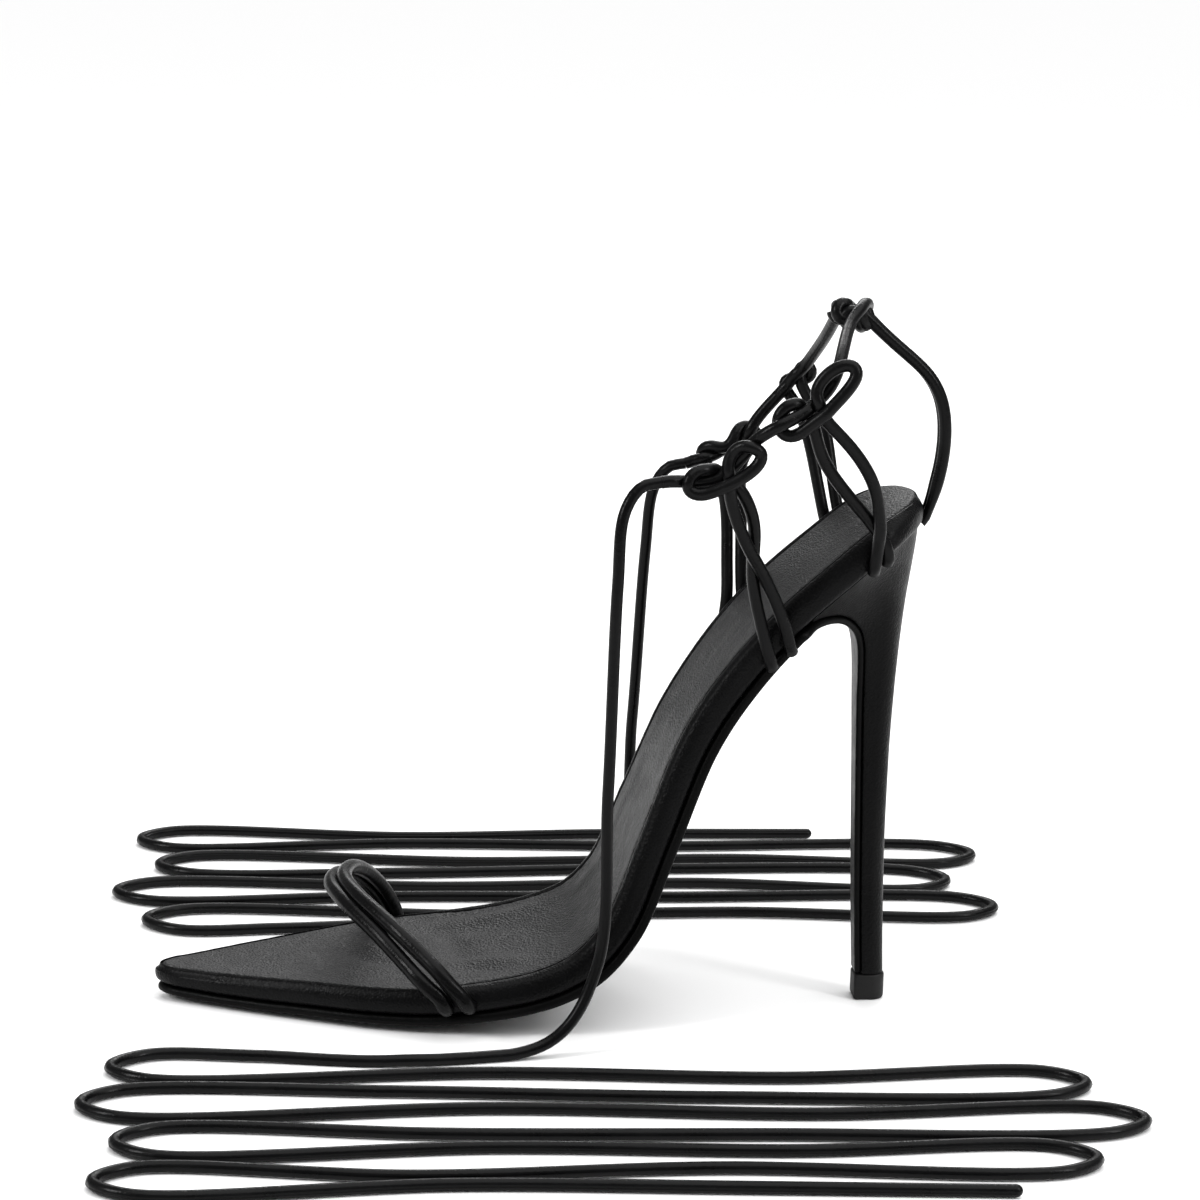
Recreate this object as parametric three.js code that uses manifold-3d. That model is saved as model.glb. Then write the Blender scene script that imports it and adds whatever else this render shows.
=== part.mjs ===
// Stiletto sandal, the left shoe of a pair, on the last of a pointed high-heeled shoe.
// Millimetres, +Z up, floor at z = 0. The toe points to -Y, the heel to +Y, and +X is the lateral (outer) side.
import * as THREE from "three";
import { mergeVertices } from "three/addons/utils/BufferGeometryUtils.js";
import Module from "manifold-3d";

const wasm = await Module();
wasm.setup();

// ---------------------------------------------------------------- sizes
const GAP = 0.3; // between pieces that touch
const TOE_Y = -102; // foremost point of the footbed
const SEAT_Y = 92.5; // rearmost point of the footbed
const TOE_ROUND = 6; // length of the rounded toe tip, along the footbed
const SEAT_ROUND = 17; // length of the rounded seat end
const SOCK_THICK = 0.9;
const SOCK_REBATE = 1.15;
const CORD = 3.0; // diameter of the ankle cords
const TOE_CORD = 4.0; // diameter of the toe cords
const TOP_PIECE_HIGH = 6.8;
const FLARE = 13; // drop in which the heel's flare falls to 1/e
const CENTRE_SHIFT = { x: -0.4, y: 1.4 }; // puts the origin under the middle of the box

// Side view of the footbed's upper edge.
const EDGE = [
  { y: -102, top: 9.0 },
  { y: -90, top: 9.35 },
  { y: -75, top: 10.1 },
  { y: -60, top: 10.9 },
  { y: -48, top: 11.3 },
  { y: -36, top: 11.75 },
  { y: -24, top: 13.0 },
  { y: -12, top: 15.1 },
  { y: -4, top: 17.4 },
  { y: 4, top: 21.2 },
  { y: 12, top: 30.0 },
  { y: 20, top: 50.2 },
  { y: 30, top: 75.5 },
  { y: 42, top: 94.7 },
  { y: 54, top: 108.6 },
  { y: 66, top: 119.6 },
  { y: 76, top: 127.9 },
  { y: 81, top: 131.1 },
  { y: 86, top: 133.2 },
  { y: 90, top: 134.0 },
  { y: 92.5, top: 134.1 },
];
// Plan of the last: half widths to the lateral and medial side, before the ends are rounded.
const PLAN = [
  { y: -102, lateral: 5.2, medial: 5.0 },
  { y: -96, lateral: 7.4, medial: 7.0 },
  { y: -85, lateral: 13.0, medial: 12.9 },
  { y: -65, lateral: 22.3, medial: 22.6 },
  { y: -45, lateral: 30.4, medial: 32.5 },
  { y: -25, lateral: 34.6, medial: 37.4 },
  { y: -5, lateral: 35.8, medial: 36.3 },
  { y: 15, lateral: 31.2, medial: 30.8 },
  { y: 35, lateral: 25.5, medial: 25.2 },
  { y: 52, lateral: 26.2, medial: 26.6 },
  { y: 66, lateral: 26.1, medial: 26.0 },
  { y: 78, lateral: 24.2, medial: 24.2 },
  { y: 88, lateral: 22.4, medial: 22.6 },
  { y: 92.5, lateral: 22.2, medial: 22.2 },
];
// Thickness of the wrapped edge and of the outsole, the belly of the bottom and the dish of the top.
const LAYERS = [
  { y: -102, edge: 4.5, outsole: 2.2, belly: 0.0, dish: 0.0 },
  { y: -90, edge: 5.2, outsole: 2.3, belly: 0.6, dish: 0.1 },
  { y: -70, edge: 6.0, outsole: 2.5, belly: 1.4, dish: 0.3 },
  { y: -50, edge: 6.4, outsole: 2.6, belly: 2.1, dish: 0.6 },
  { y: -30, edge: 6.6, outsole: 2.6, belly: 2.3, dish: 0.8 },
  { y: -10, edge: 6.8, outsole: 2.7, belly: 2.0, dish: 0.6 },
  { y: 10, edge: 6.9, outsole: 2.8, belly: 1.0, dish: 0.4 },
  { y: 30, edge: 7.1, outsole: 2.8, belly: 0.3, dish: 0.4 },
  { y: 45, edge: 7.3, outsole: 2.6, belly: 0.0, dish: 0.6 },
  { y: 70, edge: 7.3, outsole: 2.2, belly: 0.0, dish: 0.4 },
  { y: 92.5, edge: 6.5, outsole: 2.0, belly: 0.0, dish: -1.0 },
];
// The leather-wrapped rim around the sock: its width, narrow round the toe and the seat's back.
const RIM = [
  { y: -102, wide: 1.6 },
  { y: -40, wide: 1.8 },
  { y: -30, wide: 3.2 },
  { y: -20, wide: 4.9 },
  { y: 66, wide: 4.9 },
  { y: 76, wide: 4.2 },
  { y: 83, wide: 2.9 },
  { y: 88, wide: 2.0 },
  { y: 92.5, wide: 1.7 },
];
const RIM_EDGE = 1.2; // outside this the rim has the same section all round
// Where the outsole's upper face leaves the footbed and runs down the front of the heel.
const FLAP = [
  { y: 60.2, z: 103.6 },
  { y: 63.2, z: 105.0 },
  { y: 67.3, z: 105.5 },
  { y: 71.6, z: 104.7 },
  { y: 75.0, z: 102.5 },
  { y: 77.2, z: 99.6 },
  { y: 78.3, z: 95.8 },
  { y: 78.7, z: 91.2 },
  { y: 79.0, z: 79.4 },
  { y: 79.5, z: 63.6 },
  { y: 80.1, z: 43.6 },
  { y: 80.8, z: 24.4 },
  { y: 81.7, z: 6.4 },
];
const FLAP_THICK = 1.9;
const BREAST_Y = 62.6; // where the heel's front edge begins, between footbed and flap
// The heel from the seat down: rear face, half width of the stem and length of its rounded back.
const HEEL = [
  { drop: -4, back: 91.5, stem: 4.9, round: 17.0 },
  { drop: 0, back: 91.5, stem: 4.9, round: 17.0 },
  { drop: 5, back: 91.2, stem: 4.9, round: 12.5 },
  { drop: 10, back: 90.6, stem: 4.9, round: 9.0 },
  { drop: 20, back: 89.2, stem: 4.8, round: 6.0 },
  { drop: 30, back: 88.2, stem: 4.8, round: 4.8 },
  { drop: 42, back: 87.4, stem: 4.7, round: 4.4 },
  { drop: 58, back: 86.8, stem: 4.6, round: 4.2 },
  { drop: 79, back: 86.6, stem: 4.5, round: 4.1 },
  { drop: 101, back: 87.0, stem: 4.2, round: 4.0 },
  { drop: 125, back: 87.9, stem: 3.8, round: 3.8 },
];
const HEEL_LEVELS = [
  -3, 0, 1.5, 3, 5, 7.5, 10, 13, 17, 22, 28, 36, 47, 62, 79, 97, 122,
];

// The cords: x, y, z of their centre lines.
const TOE_CORD_REAR = [
  { x: 37.8, y: -23.2, z: 9.2 },
  { x: 38.0, y: -24.5, z: 11.5 },
  { x: 37.4, y: -27.5, z: 14.7 },
  { x: 35.6, y: -30.5, z: 17.8 },
  { x: 32.5, y: -33.7, z: 20.4 },
  { x: 25.0, y: -41.3, z: 25.9 },
  { x: 12.0, y: -50.2, z: 30.6 },
  { x: 0.0, y: -53.4, z: 32.0 },
  { x: -12.0, y: -51.5, z: 31.2 },
  { x: -22.0, y: -47.6, z: 27.4 },
  { x: -31.0, y: -42.8, z: 20.4 },
  { x: -36.7, y: -39.4, z: 13.2 },
  { x: -38.0, y: -38.2, z: 9.0 },
  { x: -38.1, y: -37.8, z: 5.4 },
];
const TOE_CORD_FRONT = [
  { x: 36.9, y: -28.9, z: 8.6 },
  { x: 37.1, y: -29.8, z: 10.9 },
  { x: 36.4, y: -32.5, z: 13.3 },
  { x: 34.4, y: -35.6, z: 15.9 },
  { x: 31.0, y: -38.4, z: 18.2 },
  { x: 24.0, y: -45.0, z: 23.6 },
  { x: 12.0, y: -53.2, z: 28.6 },
  { x: 0.0, y: -56.7, z: 30.2 },
  { x: -12.0, y: -54.9, z: 29.4 },
  { x: -22.0, y: -50.9, z: 25.6 },
  { x: -30.4, y: -46.2, z: 19.0 },
  { x: -35.2, y: -43.0, z: 12.4 },
  { x: -36.6, y: -42.0, z: 8.6 },
  { x: -36.8, y: -41.7, z: 5.2 },
];
const LATERAL_FRONT = [
  { x: 28.4, y: 55.9, z: 99.8 },
  { x: 28.4, y: 55.3, z: 103.7 },
  { x: 29.5, y: 51.7, z: 112.6 },
  { x: 31.0, y: 48.3, z: 119.3 },
  { x: 33.6, y: 43.8, z: 126.8 },
  { x: 35.0, y: 40.1, z: 135.3 },
  { x: 35.2, y: 38.4, z: 141.8 },
  { x: 35.4, y: 37.7, z: 146.1 },
  { x: 36.4, y: 38.2, z: 150.0 },
  { x: 37.2, y: 40.2, z: 152.7 },
  { x: 37.8, y: 44.1, z: 153.5 },
  { x: 38.2, y: 47.3, z: 150.9 },
  { x: 38.8, y: 44.9, z: 147.0 },
  { x: 39.2, y: 37.4, z: 142.8 },
  { x: 38.4, y: 30.7, z: 139.6 },
  { x: 37.4, y: 27.1, z: 141.1 },
  { x: 36.8, y: 27.5, z: 144.2 },
  { x: 36.8, y: 30.4, z: 146.5 },
  { x: 36.2, y: 33.9, z: 146.4 },
  { x: 34.2, y: 37.1, z: 144.9 },
  { x: 34.0, y: 40.5, z: 142.6 },
  { x: 33.0, y: 43.4, z: 138.5 },
  { x: 31.2, y: 45.9, z: 131.6 },
  { x: 29.8, y: 46.0, z: 125.0 },
  { x: 29.0, y: 45.9, z: 117.7 },
  { x: 28.6, y: 47.2, z: 111.3 },
  { x: 28.4, y: 49.0, z: 104.6 },
  { x: 28.4, y: 51.0, z: 97.7 },
  { x: 28.4, y: 51.6, z: 95.2 },
];
const LATERAL_REAR = [
  { x: 27.5, y: 77.0, z: 119.7 },
  { x: 27.4, y: 77.6, z: 126.0 },
  { x: 28.8, y: 77.4, z: 132.5 },
  { x: 31.0, y: 75.4, z: 141.5 },
  { x: 33.0, y: 71.3, z: 148.5 },
  { x: 35.0, y: 65.8, z: 154.8 },
  { x: 36.2, y: 60.8, z: 159.4 },
  { x: 36.6, y: 58.1, z: 163.2 },
  { x: 37.0, y: 58.4, z: 166.4 },
  { x: 37.4, y: 60.7, z: 170.0 },
  { x: 37.6, y: 64.5, z: 173.0 },
  { x: 37.8, y: 68.1, z: 173.6 },
  { x: 38.2, y: 69.9, z: 171.5 },
  { x: 39.0, y: 67.2, z: 167.4 },
  { x: 39.4, y: 62.4, z: 162.4 },
  { x: 39.0, y: 57.3, z: 157.6 },
  { x: 38.0, y: 53.1, z: 153.9 },
  { x: 37.4, y: 49.9, z: 155.5 },
  { x: 37.2, y: 49.1, z: 159.4 },
  { x: 37.0, y: 51.7, z: 162.9 },
  { x: 36.6, y: 55.4, z: 163.6 },
  { x: 35.4, y: 58.3, z: 161.7 },
  { x: 34.2, y: 59.1, z: 157.6 },
  { x: 32.4, y: 61.7, z: 148.8 },
  { x: 30.0, y: 67.9, z: 140.2 },
  { x: 27.9, y: 73.7, z: 133.7 },
  { x: 26.6, y: 77.6, z: 129.0 },
  { x: 26.4, y: 80.3, z: 124.7 },
  { x: 26.6, y: 80.4, z: 121.9 },
];
const LATERAL_RUN = [
  { x: 36.6, y: 22.4, z: 143.2 },
  { x: 36.2, y: 26.6, z: 143.4 },
  { x: 35.4, y: 31.2, z: 142.8 },
  { x: 34.6, y: 35.4, z: 143.4 },
  { x: 35.4, y: 39.2, z: 146.6 },
  { x: 36.6, y: 42.1, z: 150.8 },
  { x: 38.4, y: 45.4, z: 154.9 },
  { x: 39.2, y: 48.9, z: 157.3 },
  { x: 38.6, y: 52.6, z: 159.2 },
  { x: 37.0, y: 56.7, z: 160.7 },
  { x: 36.0, y: 60.2, z: 163.6 },
  { x: 35.4, y: 62.8, z: 166.7 },
  { x: 32.0, y: 64.9, z: 170.2 },
  { x: 26.0, y: 66.6, z: 173.5 },
  { x: 17.0, y: 68.8, z: 176.6 },
  { x: 8.0, y: 71.0, z: 179.6 },
  { x: 2.6, y: 73.4, z: 181.2 },
];
const MEDIAL_FRONT = [
  { x: -28.6, y: 46.1, z: 93.4 },
  { x: -28.8, y: 46.8, z: 99.6 },
  { x: -32.0, y: 46.8, z: 109.7 },
  { x: -35.0, y: 46.8, z: 119.9 },
  { x: -36.4, y: 45.9, z: 127.7 },
  { x: -37.0, y: 43.2, z: 132.9 },
  { x: -37.4, y: 40.0, z: 134.6 },
  { x: -37.6, y: 39.1, z: 137.5 },
  { x: -37.6, y: 41.4, z: 139.4 },
  { x: -37.2, y: 44.1, z: 137.7 },
  { x: -36.8, y: 46.7, z: 138.3 },
  { x: -37.0, y: 49.3, z: 141.0 },
  { x: -37.2, y: 51.3, z: 145.2 },
  { x: -37.0, y: 54.5, z: 144.2 },
  { x: -36.8, y: 54.6, z: 140.8 },
  { x: -36.4, y: 51.9, z: 138.7 },
  { x: -36.0, y: 49.9, z: 135.3 },
  { x: -35.4, y: 50.1, z: 127.9 },
  { x: -33.6, y: 50.5, z: 117.5 },
  { x: -30.4, y: 50.4, z: 107.4 },
  { x: -28.9, y: 50.7, z: 102.4 },
  { x: -28.8, y: 51.3, z: 96.6 },
];
const MEDIAL_REAR = [
  { x: -28.3, y: 73.2, z: 115.8 },
  { x: -28.6, y: 71.7, z: 122.2 },
  { x: -31.0, y: 70.1, z: 130.3 },
  { x: -34.6, y: 68.1, z: 140.3 },
  { x: -36.4, y: 65.3, z: 149.3 },
  { x: -37.2, y: 62.6, z: 153.1 },
  { x: -37.6, y: 60.0, z: 154.9 },
  { x: -37.8, y: 60.7, z: 158.0 },
  { x: -37.4, y: 64.1, z: 157.9 },
  { x: -36.8, y: 66.7, z: 156.4 },
  { x: -36.6, y: 68.7, z: 158.6 },
  { x: -36.8, y: 68.1, z: 161.5 },
  { x: -37.2, y: 65.2, z: 161.9 },
  { x: -36.6, y: 63.7, z: 159.3 },
  { x: -36.0, y: 65.9, z: 154.7 },
  { x: -35.6, y: 69.5, z: 149.5 },
  { x: -35.0, y: 72.3, z: 143.7 },
  { x: -32.0, y: 73.5, z: 134.7 },
  { x: -28.6, y: 75.0, z: 125.7 },
  { x: -27.6, y: 76.5, z: 118.8 },
];
const MEDIAL_RUN = [
  { x: -37.0, y: 36.2, z: 134.9 },
  { x: -37.4, y: 39.4, z: 136.2 },
  { x: -37.6, y: 43.1, z: 137.6 },
  { x: -37.4, y: 47.3, z: 139.3 },
  { x: -37.0, y: 50.8, z: 142.6 },
  { x: -37.0, y: 53.6, z: 146.4 },
  { x: -37.0, y: 56.6, z: 149.9 },
  { x: -37.0, y: 60.0, z: 153.6 },
  { x: -36.6, y: 63.0, z: 156.9 },
  { x: -35.0, y: 65.3, z: 160.1 },
  { x: -30.0, y: 67.1, z: 164.6 },
  { x: -20.0, y: 68.6, z: 170.6 },
  { x: -11.0, y: 69.5, z: 176.1 },
  { x: -5.0, y: 70.3, z: 180.0 },
  { x: -2.4, y: 72.4, z: 182.0 },
];
// The loop behind the heel is two strands, side by side, from the upper knot into the seat.
const BACK_LOOP = [
  { y: 75.6, z: 180.2 },
  { y: 79.4, z: 176.6 },
  { y: 83.9, z: 172.6 },
  { y: 88.4, z: 169.0 },
  { y: 92.9, z: 165.0 },
  { y: 96.4, z: 158.9 },
  { y: 97.7, z: 150.7 },
  { y: 97.2, z: 142.4 },
  { y: 95.9, z: 136.0 },
  { y: 94.7, z: 131.6 },
  { y: 94.5, z: 128.2 },
];
const STRAND_APART = 3.3; // between the centres of the two strands
// Solid cores of the knots: centre and half sizes.
const KNOTS = [
  { x: 37.0, y: 41.0, z: 147.6, rx: 2.2, ry: 5.2, rz: 4.4 },
  { x: 37.6, y: 58.8, z: 161.2, rx: 2.2, ry: 4.6, rz: 4.2 },
  { x: -37.0, y: 46.6, z: 139.8, rx: 1.8, ry: 4.6, rz: 2.6 },
  { x: -37.0, y: 64.6, z: 158.4, rx: 1.8, ry: 3.2, rz: 3.0 },
  { x: 0.0, y: 73.4, z: 180.8, rx: 4.6, ry: 4.6, rz: 3.2 },
];
// The ties hang from the front knots to the floor, and lie there in loose runs beside the shoe.
const TIE_HEIGHT = 1.7; // of a lying cord's centre line
const TIE_BULB = 2.4; // how much wider than the runs' spacing a turn bulges
const TIE_TURN = 9; // length of a turn along the runs
const TIES = {
  lateral: {
    side: 1,
    drop: [
      { x: 36.7, y: 21.9, z: 143.1 },
      { x: 37.4, y: 17.0, z: 142.0 },
      { x: 39.4, y: 12.8, z: 136.0 },
      { x: 41.2, y: 11.4, z: 118.0 },
      { x: 43.6, y: 10.2, z: 66.0 },
      { x: 45.6, y: 8.4, z: 22.0 },
      { x: 49.4, y: -3.0, z: 4.2 },
    ],
    // Each run: how far out it lies, where it ends, and how far its two thirds bend outwards.
    runs: [
      { out: 54, end: -111, first: 2.5, second: -1.5 },
      { out: 67.5, end: 127, first: -2, second: 2 },
      { out: 80, end: -117, first: 3.5, second: -1 },
      { out: 94, end: 136, first: -3, second: 1.5 },
      { out: 106.5, end: -108, first: 3, second: 2 },
      { out: 120, end: 119, first: -2.5, second: 0.5 },
      { out: 132.5, end: -112, first: -1, second: 3.5 },
      { out: 145, end: 96, first: -3.5, second: -1 },
    ],
  },
  medial: {
    side: -1,
    drop: [
      { x: -37.1, y: 35.6, z: 134.6 },
      { x: -37.8, y: 31.2, z: 133.4 },
      { x: -39.4, y: 27.6, z: 127.4 },
      { x: -41.0, y: 26.0, z: 110.0 },
      { x: -43.0, y: 24.0, z: 64.0 },
      { x: -45.0, y: 21.0, z: 21.0 },
      { x: -50.0, y: 8.0, z: 4.2 },
    ],
    runs: [
      { out: 55, end: -106, first: 3, second: -1 },
      { out: 69, end: 131, first: -2.5, second: 1 },
      { out: 82.5, end: -115, first: 2, second: 2 },
      { out: 95.5, end: 122, first: -1.5, second: 3 },
      { out: 109.5, end: -104, first: 3.5, second: -1.5 },
      { out: 122.5, end: 134, first: -3, second: 1 },
      { out: 136, end: -110, first: 1, second: 3 },
      { out: 149, end: 88, first: -3, second: 1 },
    ],
  },
};

// ---------------------------------------------------------------- helpers
// A smooth function through a table's rows that never overshoots them.
function through(rows, from, to) {
  const n = rows.length;
  const slope = [],
    bend = [];
  for (let i = 0; i < n - 1; i++)
    slope.push(
      (rows[i + 1][to] - rows[i][to]) / (rows[i + 1][from] - rows[i][from]),
    );
  for (let i = 0; i < n; i++) {
    if (i === 0) bend.push(slope[0]);
    else if (i === n - 1) bend.push(slope[n - 2]);
    else if (slope[i - 1] * slope[i] <= 0) bend.push(0);
    else {
      const a = rows[i][from] - rows[i - 1][from];
      const b = rows[i + 1][from] - rows[i][from];
      bend.push(
        (3 * (a + b)) /
          ((2 * b + a) / slope[i - 1] + (b + 2 * a) / slope[i]),
      );
    }
  }
  return (v) => {
    const x = Math.min(Math.max(v, rows[0][from]), rows[n - 1][from]);
    let i = 0;
    while (i < n - 2 && x > rows[i + 1][from]) i++;
    const h = rows[i + 1][from] - rows[i][from];
    const t = (x - rows[i][from]) / h;
    return (
      rows[i][to] * (1 + 2 * t) * (1 - t) * (1 - t) +
      h * bend[i] * t * (1 - t) * (1 - t) +
      rows[i + 1][to] * t * t * (3 - 2 * t) +
      h * bend[i + 1] * t * t * (t - 1)
    );
  };
}
const mix = (a, b, t) => a + (b - a) * t;
const clamp01 = (t) => Math.min(Math.max(t, 0), 1);
const smooth = (a, b, v) => {
  const t = clamp01((v - a) / (b - a));
  return t * t * (3 - 2 * t);
};
// Quarter-round plan of an end: 0 at the tip, 1 where the rounding is over.
const rounding = (reach, length) =>
  Math.sqrt(Math.max(0, 1 - (1 - clamp01(reach / length)) ** 2));

function solidOf(geometry) {
  const bare = geometry.clone();
  bare.deleteAttribute("normal");
  bare.deleteAttribute("uv");
  const merged = mergeVertices(bare, 1e-3);
  return new wasm.Manifold(
    new wasm.Mesh({
      numProp: 3,
      vertProperties: new Float32Array(merged.attributes.position.array),
      triVerts: new Uint32Array(merged.index.array),
    }),
  );
}
function geometryOf(solid) {
  const made = solid.getMesh();
  const points = new Float32Array(made.numVert * 3);
  for (let i = 0; i < made.numVert; i++)
    for (let k = 0; k < 3; k++)
      points[i * 3 + k] = made.vertProperties[i * made.numProp + k];
  const geometry = new THREE.BufferGeometry();
  geometry.setAttribute("position", new THREE.BufferAttribute(points, 3));
  geometry.setIndex(new THREE.BufferAttribute(made.triVerts, 1));
  return geometry;
}
// A closed geometry from vertices and faces; it is turned the right way out.
function closedGeometry(points, faces) {
  let volume = 0;
  for (const [a, b, c] of faces) {
    const [p, q, r] = [points[a], points[b], points[c]];
    volume += p.dot(new THREE.Vector3().crossVectors(q, r));
  }
  const index = faces.flatMap(([a, b, c]) =>
    volume < 0 ? [a, c, b] : [a, b, c],
  );
  const geometry = new THREE.BufferGeometry().setFromPoints(points);
  geometry.setIndex(index);
  return geometry;
}
// Skins a stack of rings with the same number of points; `cap` closes the first and the last.
function loftRings(rings, capFirst, capLast) {
  const points = rings.flat();
  const n = rings[0].length;
  const faces = [];
  for (let k = 0; k < rings.length - 1; k++)
    for (let i = 0; i < n; i++) {
      const a = k * n + i,
        b = k * n + ((i + 1) % n);
      faces.push([a, b, b + n], [a, b + n, a + n]);
    }
  capFirst(points, faces, 0, true);
  capLast(points, faces, (rings.length - 1) * n, false);
  return closedGeometry(points, faces);
}

// ---------------------------------------------------------------- the last's side curve
// Frames along the upper edge, every half millimetre: length along it, place, and upward normal.
const edgeTop = through(EDGE, "y", "top");
const SIDE = [];
for (let i = 0; i <= 640; i++) {
  const y = mix(TOE_Y, SEAT_Y, i / 640);
  const z = edgeTop(y);
  const last = SIDE[i - 1];
  SIDE.push({ y, z, s: last ? last.s + Math.hypot(y - last.y, z - last.z) : 0 });
}
SIDE.forEach((f, i) => {
  const reach = 9;
  const a = SIDE[Math.max(0, i - reach)],
    b = SIDE[Math.min(SIDE.length - 1, i + reach)];
  const l = Math.hypot(b.y - a.y, b.z - a.z);
  f.ny = -(b.z - a.z) / l;
  f.nz = (b.y - a.y) / l;
});
const LENGTH = SIDE[SIDE.length - 1].s;
function frameOn(frames, s) {
  const x = Math.min(Math.max(s, frames[0].s), frames[frames.length - 1].s);
  let lo = 0,
    hi = frames.length - 1;
  while (hi - lo > 1) {
    const mid = (lo + hi) >> 1;
    if (frames[mid].s > x) hi = mid;
    else lo = mid;
  }
  const a = frames[lo],
    b = frames[hi];
  const t = (x - a.s) / (b.s - a.s);
  const f = {};
  for (const key of Object.keys(a)) f[key] = mix(a[key], b[key], t);
  const l = Math.hypot(f.ny, f.nz);
  f.ny /= l;
  f.nz /= l;
  return f;
}
const planLateral = through(PLAN, "y", "lateral");
const planMedial = through(PLAN, "y", "medial");
const edgeThick = through(LAYERS, "y", "edge");
const outsoleThick = through(LAYERS, "y", "outsole");
const belly = through(LAYERS, "y", "belly");
const dish = through(LAYERS, "y", "dish");

// A plate is an outline in the flattened sheet, along s and across x, at stations along s.
// Each ring is the outline moved in by `inset` and down by `depth(station)`; rungs of inner points close it.
function plate(stations, halfAt, frames, rings, topRungs, bottomRungs, belowAt) {
  const n = stations.length;
  const outline = [];
  stations.forEach((s, j) =>
    outline.push({ s, x: j === 0 || j === n - 1 ? 0 : halfAt(s).lateral }),
  );
  for (let j = n - 2; j > 0; j--)
    outline.push({ s: stations[j], x: -halfAt(stations[j]).medial });
  const m = outline.length;
  const inward = outline.map((p, i) => {
    const a = outline[(i + m - 1) % m],
      b = outline[(i + 1) % m];
    const l = Math.hypot(b.s - a.s, b.x - a.x);
    return { s: (b.x - a.x) / l, x: -(b.s - a.s) / l };
  });
  const place = (s, x, depth) => {
    const f = frameOn(frames, s);
    const d = depth(s, x);
    return new THREE.Vector3(x, f.y - f.ny * d, f.z - f.nz * d);
  };
  const flat = (inset) =>
    outline.map((p, i) => {
      const by = typeof inset === "function" ? inset(p.s) : inset;
      return { s: p.s + inward[i].s * by, x: p.x + inward[i].x * by };
    });
  const made = rings.map(({ inset, depth }) =>
    flat(inset).map((p) => place(p.s, p.x, depth)),
  );
  // Rungs: inner points at shares of the half width, joined across like ladder rungs.
  const cap = (ring, shares, depth) => (points, faces, first, isTop) => {
    const edge = flat(rings[ring].inset);
    const columns = [];
    for (let j = 1; j < n - 1; j++) {
      const lateral = j,
        medial = m - j;
      const column = [first + lateral];
      for (const share of shares) {
        const t = (1 - share) / 2;
        points.push(
          place(
            mix(edge[lateral].s, edge[medial].s, t),
            mix(edge[lateral].x, edge[medial].x, t),
            depth,
          ),
        );
        column.push(points.length - 1);
      }
      column.push(first + medial);
      columns.push(column);
    }
    const face = (a, b, c) => faces.push(isTop ? [a, c, b] : [a, b, c]);
    const toe = first,
      seat = first + n - 1;
    const width = columns[0].length;
    for (let k = 0; k < width - 1; k++) {
      face(toe, columns[0][k], columns[0][k + 1]);
      face(seat, columns[columns.length - 1][k + 1], columns[columns.length - 1][k]);
    }
    for (let j = 0; j < columns.length - 1; j++)
      for (let k = 0; k < width - 1; k++) {
        face(columns[j][k], columns[j + 1][k], columns[j + 1][k + 1]);
        face(columns[j][k], columns[j + 1][k + 1], columns[j][k + 1]);
      }
  };
  return loftRings(
    made,
    cap(0, topRungs.shares, topRungs.depth),
    cap(rings.length - 1, bottomRungs.shares, bottomRungs.depth),
  );
}
// Stations: dense round both ends, every few millimetres between.
function stationsAlong(length, firstRound, lastRound, middle, firstSteps, lastSteps) {
  const list = [];
  for (let i = 0; i < firstSteps; i++)
    list.push(firstRound * (1 - Math.cos((Math.PI / 2) * (i / firstSteps))));
  for (let i = 0; i <= middle; i++)
    list.push(mix(firstRound, length - lastRound, i / middle));
  for (let i = lastSteps - 1; i >= 0; i--)
    list.push(length - lastRound * (1 - Math.cos((Math.PI / 2) * (i / lastSteps))));
  return list;
}

// ---------------------------------------------------------------- footbed and sock
const footbedStations = stationsAlong(LENGTH, TOE_ROUND, SEAT_ROUND, 28, 4, 6);
const yAt = (s) => frameOn(SIDE, s).y;
const footbedHalf = (s) => {
  const y = yAt(s);
  const ends = rounding(s, TOE_ROUND) * rounding(LENGTH - s, SEAT_ROUND);
  return { lateral: planLateral(y) * ends, medial: planMedial(y) * ends };
};
// How far a point is across, 0 in the middle and 1 at the last's edge.
const across = (s, x) => {
  const y = yAt(s);
  return clamp01(Math.abs(x) / (x > 0 ? planLateral(y) : planMedial(y)));
};
const bellyAt = (s, x) => belly(yAt(s)) * (1 - across(s, x) ** 2);
const dishAt = (s, x) => dish(yAt(s)) * (1 - across(s, x) ** 2);
const edgeAt = (s) => edgeThick(yAt(s));
const rimDepth = (share, plus) => (s) => edgeAt(s) * share + plus;
const underFootbed = (s, x) => edgeAt(s) + bellyAt(s, x);
const rimWide = through(RIM, "y", "wide");
// A place on the rim, at a share of the way from its fixed outer part to the sock, and further in.
const onRim = (share, plus) => (s) =>
  RIM_EDGE + (rimWide(yAt(s)) - RIM_EDGE) * share + plus;

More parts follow.
